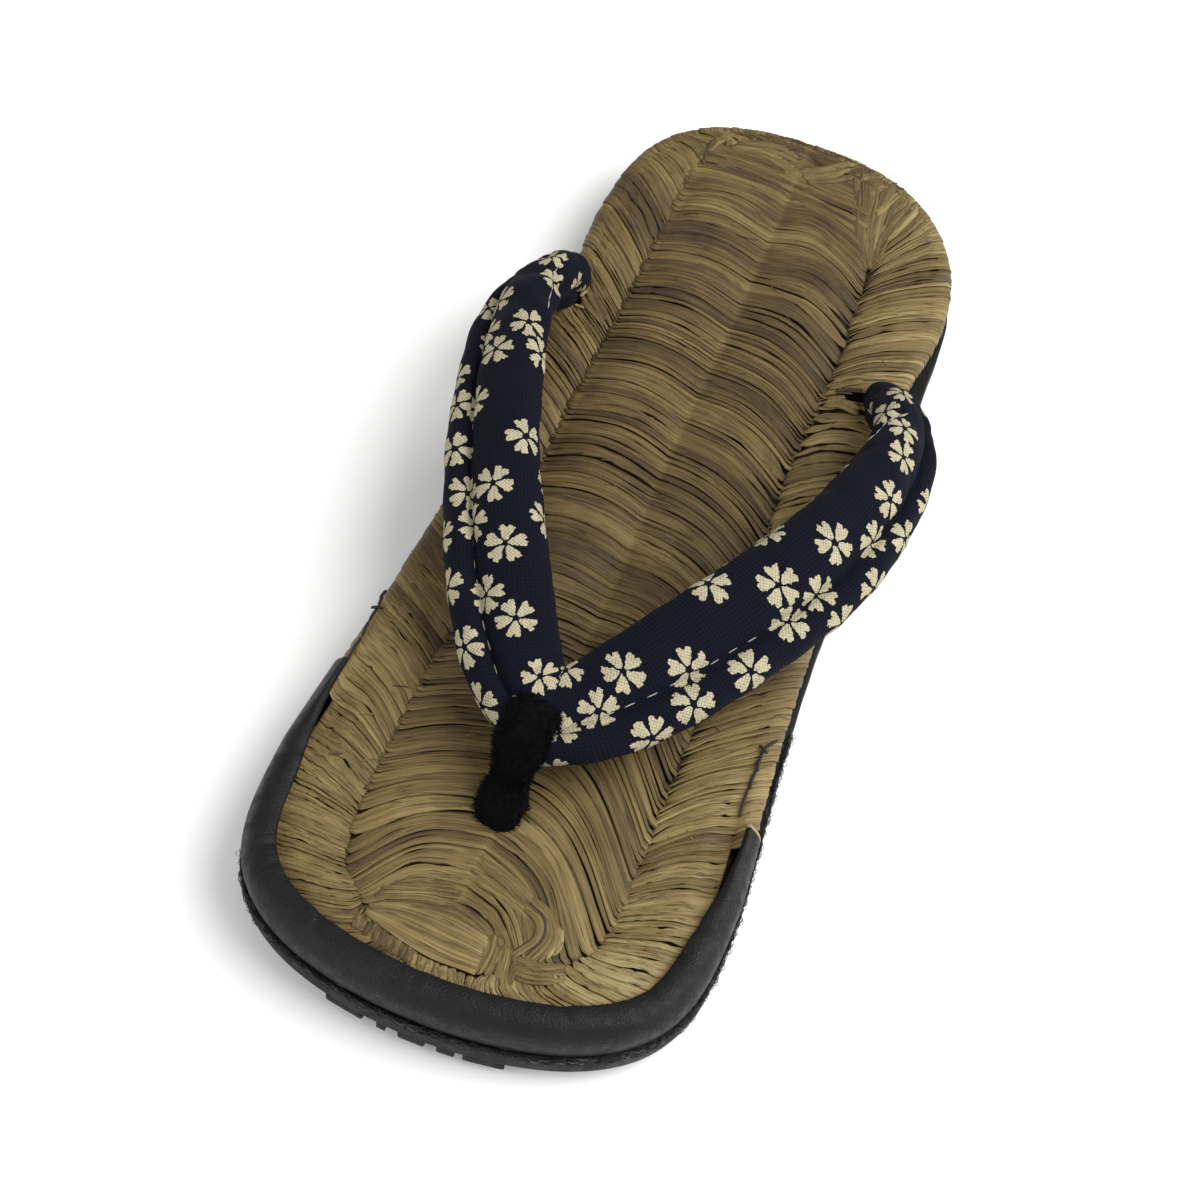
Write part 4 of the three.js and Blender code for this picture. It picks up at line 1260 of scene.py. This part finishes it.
def blossomUv(mesh, u, v, blossoms):     # each face reads its own nearest blossom
    corner = cornerPoints(mesh)
    cu, cv = u[corner], v[corner]
    faceOf = np.repeat(np.arange(len(mesh.polygons)), [len(face.vertices) for face in mesh.polygons])
    counts = np.bincount(faceOf)
    starts = np.concatenate([[0], np.cumsum(counts)[:-1]])
    firstV = cv[starts][faceOf]
    cv = firstV + shortWay(cv - firstV)
    midU = np.bincount(faceOf, cu) / counts
    midV = np.bincount(faceOf, cv) / counts
    apartV = shortWay(midV[:, None] - blossoms[:, 0])
    nearest = np.argmin(apartV ** 2 + (midU[:, None] - blossoms[:, 1]) ** 2, axis=1)
    shift = apartV[np.arange(len(midV)), nearest] - midV
    localV = cv + shift[faceOf]
    localU = cu - blossoms[nearest, 1][faceOf]
    turn = np.radians(blossoms[nearest, 2])[faceOf]
    petalX = localV * np.cos(turn) + localU * np.sin(turn)
    petalY = -localV * np.sin(turn) + localU * np.cos(turn)
    return np.stack([petalX, petalY], -1), np.stack([cv, cu], -1)


def insidePetals(made, crossing):    # 1 inside a blossom's five petals, ragged along the threads
    local = join(made, "ShaderNodeSeparateXYZ", {"Vector": uvOf(made, "blossom")})
    uneven = noise(made, stretched(made, uvOf(made, "cloth"), (0.7, 0.7, 1)), 1, 2)
    uneven = swing(made, uneven, 1.1)
    x = calc(made, "ADD", local.outputs["X"], uneven)
    y = calc(made, "SUBTRACT", local.outputs["Y"], uneven)
    reach = calc(made, "ADD", calc(made, "MULTIPLY", x, x), calc(made, "MULTIPLY", y, y))
    reach = calc(made, "SQRT", reach)
    angle = calc(made, "ARCTAN2", y, x)
    fifth = 2 * math.pi / 5
    angle = calc(made, "FLOORED_MODULO", calc(made, "ADD", angle, fifth / 2), fifth)
    angle = calc(made, "SUBTRACT", angle, fifth / 2)                # from the petal's own middle
    lengthways = calc(made, "MULTIPLY", reach, calc(made, "COSINE", angle))
    sideways = calc(made, "ABSOLUTE", calc(made, "MULTIPLY", reach, calc(made, "SINE", angle)))
    ragged = swing(made, crossing, 0.5)
    petal = strap["petal"]
    length = calc(made, "DIVIDE", calc(made, "SUBTRACT", lengthways, petal["middle"]), petal["half"])
    spread = calc(made, "ADD", calc(made, "MULTIPLY", lengthways, petal["spread"]), petal["root"])
    width = calc(made, "DIVIDE", sideways, spread)
    body = calc(made, "POWER", calc(made, "ABSOLUTE", length), 3.6)
    body = calc(made, "ADD", body, calc(made, "POWER", width, 3.0))
    body = calc(made, "ADD", body, calc(made, "MULTIPLY", ragged, 0.8))
    notch = calc(made, "SUBTRACT", petal["tip"], lengthways)
    notch = calc(made, "SUBTRACT", notch, calc(made, "MULTIPLY", sideways, -petal["notch"]))
    notched = calc(made, "GREATER_THAN", notch, 0.0)
    return calc(made, "MULTIPLY", calc(made, "LESS_THAN", body, 1.0), notched)


def clothMaterial():
    made = newMaterial("printed_cloth", **{
        "Roughness": 0.95, "Specular IOR Level": 0.06, "Sheen Weight": 0.015, "Sheen Roughness": 0.5,
    })
    cloth = join(made, "ShaderNodeSeparateXYZ", {
        "Vector": stretched(made, uvOf(made, "cloth"), (1, 1, 1), math.radians(strap["bias"])),
    })
    frequency = math.pi / strap["thread"]
    warp = calc(made, "SINE", calc(made, "MULTIPLY", cloth.outputs["X"], frequency))
    weft = calc(made, "SINE", calc(made, "MULTIPLY", cloth.outputs["Y"], frequency))
    over = calc(made, "MULTIPLY", warp, weft)
    crossing = calc(made, "ADD", calc(made, "MULTIPLY", over, 0.5), 0.5)
    inside = insidePetals(made, crossing)
    worn = calc(made, "MULTIPLY", noise(made, objectPlace(made), 700, 2), 0.6)
    threads = calc(made, "MINIMUM", calc(made, "ABSOLUTE", warp), calc(made, "ABSOLUTE", weft))
    threads = calc(made, "ADD", threads, worn)
    between = calc(made, "SUBTRACT", 1.35, calc(made, "MULTIPLY", threads, 2.0))
    between = calc(made, "MINIMUM", calc(made, "MAXIMUM", between, 0.0), 0.75)
    printed = calc(made, "MULTIPLY", inside, calc(made, "SUBTRACT", 1.0, between))
    # painted shade: the navy is lighter on the weave's raised crossings and darker between them, mixed with
    # random patches
    weaveShadeAndPatches = calc(made, "MULTIPLY", noise(made, objectPlace(made), 1300, 2), 0.4)
    weaveShadeAndPatches = calc(made, "ADD", calc(made, "MULTIPLY", crossing, 0.6), weaveShadeAndPatches)
    navy = mixColour(made, weaveShadeAndPatches, [0.45 * c for c in strap["navy"]], [1.8 * c for c in strap["navy"]])
    faded = noise(made, objectPlace(made), 200, 2)
    cream = mixColour(made, faded, [0.85 * c for c in strap["cream"]], [1.1 * c for c in strap["cream"]])
    toShader(made, Base_Color=mixColour(made, printed, navy, cream))
    soft = bump(made, noise(made, objectPlace(made), 110, 3), 0.0006, 0.25)
    toShader(made, Normal=bump(made, crossing, 0.00022, 0.55, soft))
    return made


def foldMesh(points):
    mesh = asMesh("fold", bar(28, 30))
    t, turn = barTurns(mesh)
    columns = ("x", "y", "z", "half")
    rows = [dict(zip(columns, point), k=k) for k, point in enumerate(points)]
    x, y, z, half = (readTable(rows, "k", name, t * (len(points) - 1)) for name in columns)
    half = half * roundedEnds(t, 6, 0.04)
    half = half * (1 - 0.16 * np.exp(-((turn - 1.9) / 0.25) ** 2))
    place(mesh, np.stack([x + half * np.cos(turn), y, z + half * 1.1 * np.sin(turn)], -1))
    flat = np.stack([turn * 3, t * 14], -1)[cornerPoints(mesh)]
    storeUv(mesh, "cloth", flat)
    storeUv(mesh, "blossom", flat * 0 + 40)     # no blossom falls on it
    return mesh


def makeArm(name, side, cloth):
    length = armPlaces(strap[name])[-1]
    mesh = asMesh(name, bar(76, 210))
    t, turn = barTurns(mesh)
    u = t * length
    v = np.mod(turn / (2 * np.pi), 1) * strapGirth
    place(mesh, strapPoints(side, u, v))
    local, flat = blossomUv(mesh, u, v, scattered(strap[name + "Blossoms"], length, 40 + side))
    storeUv(mesh, "blossom", local)
    storeUv(mesh, "cloth", flat)
    made = piece(f"strap_{name}_arm", mesh, [cloth], ["straps"])


def makeStitches(name, side, white):
    stitch = strap["stitch"]
    own = np.random.default_rng(45 + side)
    starts = np.arange(stitch["from"], stitch["to"], stitch["every"])
    starts = starts + own.normal(0, 0.25, len(starts))
    mesh = asMesh("stitches", copies(bar(6, 5), len(starts)))
    t, turn = barTurns(mesh)
    taper = roundedEnds(t, 4, 0.04) * stitch["radius"]
    u = starts[copyOf(t, len(starts))] + t * stitch["length"]
    seam, drift = strap[name + "Seam"]
    seam = seam + drift * smooth(10, 80, u)
    place(mesh, strapPoints(side, u, seam + np.cos(turn) * taper, -0.05 + np.sin(turn) * taper))
    piece(f"strap_{name}_stitches", mesh, [white])


def makeTuckThread(name, side, white):
    mesh = asMesh("tuck", bar(6, 70))
    t, turn = barTurns(mesh)
    points = strap[name + "Tuck"]
    rows = [{"k": k, "v": v, "u": u} for k, (v, u) in enumerate(points)]
    u, v = (readTable(rows, "k", axis, t * (len(points) - 1)) for axis in "uv")
    shown = np.sin(np.pi * t * 5) ** 2 * (0.4 + 0.6 * np.sin(t * 9) ** 2)
    taper = np.sqrt(np.clip(shown, 0.02, 1)) * strap["tuckRadius"]
    place(mesh, strapPoints(side, u, v + np.cos(turn) * taper, -0.02 + np.sin(turn) * taper))
    piece(f"strap_{name}_tuck_thread", mesh, [white])


def makeStrap():
    cloth = clothMaterial()
    for name, points in zip(("right", "left"), strap["folds"]):
        piece(f"strap_{name}_fold", foldMesh(points), [cloth])
    colour = (*strap["stitch"]["colour"], 1)
    white = newMaterial("seam_thread", **{"Base Color": colour, "Roughness": 0.8})
    for name, side in (("right", 1), ("left", -1)):
        makeArm(name, side, cloth)
        makeStitches(name, side, white)
        makeTuckThread(name, side, white)


makeStrap()
print("strap padded")


# The velvet front loop.

loop = {
    "turn": (0.8, 56, -4),        # x, y and degrees: the loop stands a little askew
    "lobe": [                     # along the wrap from behind: y, z, half width, half thickness
        (63, 20.5, 4.2, 1.4), (60.6, 25, 4.4, 1.6), (61.6, 30.3, 4.6, 1.8), (65.4, 32.4, 5, 2),
        (70, 30.6, 5.2, 2.2), (73.2, 26.8, 4.2, 2.2), (74.2, 23, 3.5, 2.7),
        (77.8, 18, 4.8, 4.8), (77.8, 12, 5, 5),
    ],
    "pile": 5200,
    "pileLength": 1.05,
    "pileFrom": 0.3,
    "pileTo": 7.25,
    "pileLean": 0.16,
    "pileHalf": 0.09,
    "colour": (0.0018, 0.0018, 0.0021),
}


lobeColumns = ("y", "z", "half", "thick")
lobe = [dict(zip(lobeColumns, row), at=k) for k, row in enumerate(loop["lobe"])]


def loopPoints(at, turn, proud):
    y, z, half, thick = (readTable(lobe, "at", name, at) for name in lobeColumns)
    stepY, stepZ = (
        readTable(lobe, "at", name, at + 0.02) - readTable(lobe, "at", name, at - 0.02) for name in "yz"
    )
    length = np.hypot(stepY, stepZ)
    length = np.where(length == 0, 1, length)
    lump = 0.25 * np.sin(at * 3.1 + turn * 2) + 0.2 * np.sin(at * 5.3 - turn * 3)
    turnX, turnY, degrees = loop["turn"]
    x = turnX + squared(np.cos(turn), 0.7) * (half + proud + lump)
    reach = squared(np.sin(turn), 0.7) * (thick + proud + lump * 0.6)
    y = y - stepZ / length * reach
    z = z + stepY / length * reach
    cos, sin = math.cos(math.radians(degrees)), math.sin(math.radians(degrees))
    dx, dy = x - turnX, y - turnY
    return np.stack([turnX + dx * cos - dy * sin, turnY + dx * sin + dy * cos, z], -1)


def makeLoop():
    velvet = newMaterial("velvet", **{
        "Base Color": (*loop["colour"], 1), "Roughness": 1.0, "Specular IOR Level": 0.1,
        "Sheen Weight": 0.035, "Sheen Roughness": 0.35, "Sheen Tint": (0.35, 0.37, 0.45, 1),
    })
    last = len(lobe) - 1
    mesh = asMesh("loop", bar(40, 90))
    t, turn = barTurns(mesh)
    close = -1.2 * (1 - smooth(0, 0.03, t)) ** 2
    place(mesh, loopPoints(0.02 + t * (last - 0.04), turn, close))
    made = piece("velvet_loop", mesh, [velvet], ["front_loop"])

    count = loop["pile"]
    mesh = asMesh("pile", copies(bar(3, 3), count))
    t, turn = barTurns(mesh)
    one = copyOf(t, count)
    own = np.random.default_rng(52)
    at = own.uniform(loop["pileFrom"], loop["pileTo"], count)[one]
    side = own.uniform(-np.pi, np.pi, count)[one]
    slant = own.normal(0, loop["pileLean"], (count, 2))[one]
    length = own.uniform(0.5, 1, count)[one] * loop["pileLength"]
    root = loopPoints(at, side, -0.1 + 0 * at)
    tip = loopPoints(np.clip(at + slant[:, 0], 0.05, last - 0.05), side + slant[:, 1], length)
    away = np.cross(tip - root, [0.3, 0.5, 0.8])
    away /= np.linalg.norm(away, axis=1)[:, None]
    other = np.cross(tip - root, away)
    other /= np.linalg.norm(other, axis=1)[:, None]
    thin = (loop["pileHalf"] * (1 - 0.8 * t))[:, None]
    points = root + (tip - root) * t[:, None]
    points = points + away * thin * np.cos(turn)[:, None] + other * thin * np.sin(turn)[:, None]
    place(mesh, points)
    piece("velvet_pile", mesh, [velvet])


makeLoop()
print("velvet loop wrapped")


# The rubber outsole.

tread = {
    "turn": 2.63,             # degrees the band lies askew
    "centre": 7.25,
    "coarse": 11,             # how far apart the lugs are along the band
    "coarseLugs": [           # inner and outer x, shift along, inner and outer length
        (9.2, 18, 0, 6.4, 8.6), (5.2, 9.6, 5.5, 3, 2.6), (8.6, 12.4, 5.5, 1, 0.8), (-5.2, -1.3, 0, 10.6, 6),
    ],
    "fine": 5.5,
    "fineLugs": [(-18, -12.8, 0, 3.2, 3.8)],
    "plainRight": (1.3, 5.4),
    "plainLeft": (-13, -5),
    "ridgeFrom": 18.9,
    "ridgeTo": 28.4,
    "ridgePitch": 1.05,
    "ridgeLength": 0.5,
    "ridgeProud": 0.45,
    "into": 0.5,              # how far the tread's parts reach into the slab
    "stubs": [                # from and to, in degrees round the toe
        (169.3, 173.9), (175.6, 176.6), (178, 180.9), (182.2, 184.1), (185, 189.5),
    ],
    "stubDepth": 2.5,
    "stubInset": 0.1,
    "stubWidth": 3,
    "nailHalf": 1.5,
    "nailProud": 0.3,
    "nails": [
        (-33, -108), (-36, -88), (-35, -62), (-33, -38), (-32, -12), (-33, 14), (-35, 40),
        (-37, 66), (-35, 90), (37, -102), (38, -98), (38, -74), (36, -50), (35, -26), (35, -2),
        (36, 22), (38, 47), (39, 70), (35, 95), (12, -116), (-10, 116), (14, 113),
    ],
    "colour": (0.0042, 0.0041, 0.0038),
}


def rubberMaterial():
    made = newMaterial("black_rubber", **{"Roughness": 0.6, "Specular IOR Level": 0.17})
    where = objectPlace(made)
    soft = noise(made, where, 90, 4, 0.6)
    shade = mixColour(made, soft, [0.75 * c for c in tread["colour"]], [1.35 * c for c in tread["colour"]])
    dusty = ramp(made, noise(made, where, 260, 4), [(0.35, (0.45, 0.45, 0.45)), (0.7, (0.7, 0.7, 0.7))])
    toShader(made, Base_Color=shade, Roughness=dusty)
    broad = bump(made, soft, 0.0004, 0.3)
    toShader(made, Normal=bump(made, noise(made, where, 1600, 3), 0.00012, 0.4, broad))
    return made


def underside(x, y, z):             # from the band's own frame to the shoe's, kept inside the sole
    a = math.radians(tread["turn"])
    shoeX = tread["centre"] + x * math.cos(a) - y * math.sin(a)
    shoeY = np.clip(x * math.sin(a) + y * math.cos(a), -halfLength + 0.6, halfLength - 4.2)
    setBack = 3.4 * smooth(90, 108, shoeY)          # at the toe
    limit = np.maximum(halfWidth(shoeY + setBack) - 0.5, 0.3)
    shoeX = np.clip(shoeX, lean(shoeY) - limit, lean(shoeY) + limit)
    return np.stack([shoeX, shoeY, z + rise(shoeY)], -1)


def blocks(rows, low, high):        # by inner and outer x, middle y, inner and outer length
    mesh = asMesh("blocks", copies(softCube(0.06, 1), len(rows)))
    flat = coordinates(mesh)
    row = np.array(rows, float)[copyOf(flat, len(rows))]
    a = flat[:, 0] + 0.5
    x = row[:, 0] + (row[:, 1] - row[:, 0]) * a
    y = row[:, 2] + flat[:, 1] * (row[:, 3] + (row[:, 4] - row[:, 3]) * a)
    z = low + (flat[:, 2] + 0.5) * (high - low)
    place(mesh, underside(x, y, z))
    return mesh


def strip(low, high, bottom, top):
    mesh = asMesh("strip", bar(8, 130))
    t, turn = barTurns(mesh)
    corner = np.sign(np.cos(turn)) * np.clip(np.abs(np.cos(turn)) * 1.35, 0, 1)
    level = np.sign(np.sin(turn)) * np.clip(np.abs(np.sin(turn)) * 1.35, 0, 1)
    x = (low + high) / 2 + corner * (high - low) / 2
    y = (t * 2 - 1) * (halfLength + 2)
    place(mesh, underside(x, y, (bottom + top) / 2 + level * (top - bottom) / 2))
    return mesh


def slabMesh():
    quarter = [                     # share of the half width, set back, share of the height
        (1, 0, 0.5), (1, 0, 0.84), (1, -0.22, 0.96), (1, -0.7, 1), (0.82, 0, 1), (0.6, 0, 1), (0.3, 0, 1),
    ]
    upper = quarter + [(0, 0, 1)] + [(-a, -b, c) for a, b, c in reversed(quarter[1:])]
    around = np.array(upper + [(-a, -b, 1 - c) for a, b, c in upper])
    mesh = asMesh("slab", bar(len(around), 240))
    t, turn = barTurns(mesh)
    spot = around[np.round(turn / (2 * np.pi) * len(around)).astype(int) % len(around)]
    y = -np.cos(np.pi * (0.002 + t * 0.996)) * halfLength
    half = halfWidth(y)
    low, high = sole["treadHeight"] + rise(y), sole["slabTop"] + rise(y)
    wavy = 0.12 * np.sin(y * 0.4) * np.sin(y * 0.13 + 1)
    x = lean(y) + spot[:, 0] * (half + wavy) + np.clip(spot[:, 1], -half * 0.9, half * 0.9)
    place(mesh, np.stack([x, y, low + spot[:, 2] * (high - low)], -1))
    return mesh


def makeTread(rubber):
    top = sole["treadHeight"] + tread["into"]
    coarse = np.arange(-12, 13) * tread["coarse"]
    fine = np.arange(-24, 25) * tread["fine"]
    lugs = []
    for places, shapes in ((coarse, tread["coarseLugs"]), (fine, tread["fineLugs"])):
        for y in places:
            for inner, outer, shift, near, far in shapes:
                lugs.append((inner, outer, y + shift, near, far))
    reach = halfLength + 4
    lugs = [lug for lug in lugs if abs(lug[2]) < reach - 6]
    piece("tread_lugs", blocks(lugs, 0, top), [rubber])
    for name, (low, high) in (("right", tread["plainRight"]), ("left", tread["plainLeft"])):
        piece(f"tread_{name}_rib", strip(low, high, 0, top), [rubber])
    ridges = []
    for side in (-1, 1):
        for y in np.arange(-reach + 8, reach - 8, tread["ridgePitch"]):
            length = tread["ridgeLength"]
            ridges.append((side * tread["ridgeFrom"], side * tread["ridgeTo"], y, length, length))
    bottom = sole["treadHeight"] - tread["ridgeProud"]
    piece("tread_ridges", blocks(ridges, bottom, top), [rubber])


def makeStubs(rubber):              # the tread showing round the toe
    mesh = asMesh("stubs", copies(softCube(0.08, 2), len(tread["stubs"])))
    flat = coordinates(mesh) + 0.5
    stub = np.array(tread["stubs"], float)[copyOf(flat, len(tread["stubs"]))]
    degrees = stub[:, 0] + (stub[:, 1] - stub[:, 0]) * flat[:, 0]
    x, y = outline(arcAt(degrees), tread["stubInset"] + tread["stubWidth"] * flat[:, 1])
    drop = flat[:, 2] * (tread["stubDepth"] + tread["into"])
    z = sole["treadHeight"] + tread["into"] + rise(y) - drop
    place(mesh, np.stack([x, y, z], -1))
    piece("toe_stubs", mesh, [rubber])


def makeNails():
    dent = bmesh.new()
    bmesh.ops.create_uvsphere(dent, u_segments=10, v_segments=6, radius=1)
    mesh = asMesh("dents", copies(dent, len(tread["nails"])))
    flat = coordinates(mesh)
    nail = np.array(tread["nails"], float)[copyOf(flat, len(tread["nails"]))]
    x = nail[:, 0] + flat[:, 0] * tread["nailHalf"]
    y = nail[:, 1] + flat[:, 1] * tread["nailHalf"]
    place(mesh, np.stack([x, y, sole["treadHeight"] + rise(y) + flat[:, 2] * tread["nailProud"]], -1))
    pit = newMaterial("nail_heads", **{"Base Color": (0.008, 0.008, 0.009, 1), "Roughness": 0.3})
    piece("nail_heads", mesh, [pit])


def makeOutsole():
    rubber = rubberMaterial()
    piece("outsole_slab", slabMesh(), [rubber], ["outsole"])
    makeTread(rubber)
    makeStubs(rubber)
    makeNails()


fringe = {                          # loose fibres in the gap between the rim and the slab
    "count": 5200,
    "from": 104,                    # degrees round the toe
    "to": 255,
    "lengths": (0.8, 2.6),
    "curl": 0.35,
    "out": 0.3,
    "spread": 0.4,
    "half": 0.09,
    "below": 1.7,                   # the band starts under the slab's top
    "band": 2.3,
    # a few fibres are coloured light as painted glints
    "shades": [(0, (0.001, 0.001, 0.001)), (0.9, (0.004, 0.004, 0.0038)), (0.98, (0.12, 0.12, 0.11))],
}


def makeFringe():
    count = fringe["count"]
    mesh = asMesh("fringe", copies(bar(3, 3), count))
    t, turn = barTurns(mesh)
    one = copyOf(t, count)
    own = np.random.default_rng(61)
    where = own.uniform(arcAt(fringe["from"]), arcAt(fringe["to"]), count)[one]
    level = own.uniform(0.1, 0.95, count)[one]
    length = own.uniform(*fringe["lengths"], count)[one]
    curl = own.normal(0, fringe["curl"], (count, 2))[one]
    arc = where + (t - 0.5) * length
    out = fringe["out"] + own.uniform(-fringe["spread"], fringe["spread"], count)[one]
    out = out + curl[:, 0] * np.sin(np.pi * t)
    thin = fringe["half"] * (1 - 0.6 * t)
    x, y = outline(arc, 0.35 - out + thin * np.cos(turn))
    z = sole["slabTop"] - fringe["below"] + rise(y) + level * fringe["band"]
    z = z + curl[:, 1] * t * 0.7 + thin * np.sin(turn)
    place(mesh, np.stack([x, y, z], -1))
    storeValue(mesh, "tone", own.random(count)[one])
    # painted glints: the lightest few fibres stand for glints in the dark gap
    fibre = newMaterial("fringe_fibre_and_glint", **{"Roughness": 0.45})
    tone = join(fibre, "ShaderNodeAttribute", attribute_name="tone").outputs["Fac"]
    toShader(fibre, Base_Color=ramp(fibre, tone, fringe["shades"]))
    piece("edge_fringe", mesh, [fibre])


makeOutsole()
makeFringe()
print("outsole cut")


# The black sewing at the rim's ends.

sewing = {
    "radius": 0.34,
    "lift": 0.35,
    "crossLift": 0.5,
    "crossHalf": 1.3,
    "bow": 0.25,
    "right": [(43.6, 40.6), (43.3, 44), (43.6, 48), (43.4, 52), (43.9, 58.6)],
    "left": [(-43.4, 41), (-41.3, 44.4), (-41.6, 49), (-41.4, 54), (-41.8, 60.6)],
    "crosswise": [
        (43.6, 40.6, 80), (43.4, 44.3, 20), (-41.3, 44.5, 150), (-41.5, 48.6, 110), (-41.6, 53, 100),
    ],
    "colour": (0.005, 0.0045, 0.0045),
}


def makeSewing():
    thread = newMaterial("sewing_thread", **{"Base Color": (*sewing["colour"], 1), "Roughness": 0.7})
    paths = []
    for name in ("right", "left"):
        corners = np.array(sewing[name], float)
        for a, b in zip(corners[:-1], corners[1:]):
            paths.append((a, b, sewing["lift"]))
    for x, y, turn in sewing["crosswise"]:
        a = math.radians(turn)
        reach = np.array([math.cos(a), math.sin(a)]) * sewing["crossHalf"]
        paths.append((np.array([x, y]) - reach, np.array([x, y]) + reach, sewing["crossLift"]))
    mesh = asMesh("sewing", copies(bar(6, 8), len(paths)))
    t, turn = barTurns(mesh)
    starts, ends, lift = (np.array(column)[copyOf(t, len(paths))] for column in zip(*paths))
    along = (ends - starts) / np.linalg.norm(ends - starts, axis=1)[:, None]
    centre = starts + (ends - starts) * t[:, None]
    radius = sewing["radius"] * roundedEnds(t, 6, 0.1)
    x = centre[:, 0] - along[:, 1] * radius * np.cos(turn)
    y = centre[:, 1] + along[:, 0] * radius * np.cos(turn)
    z = footbedSurface(centre[:, 0], centre[:, 1]) + lift + np.sin(np.pi * t) * sewing["bow"]
    z = z + radius * np.sin(turn)
    place(mesh, np.stack([x, y, z], -1))
    piece("edge_sewing", mesh, [thread])


makeSewing()
print("edges sewn")
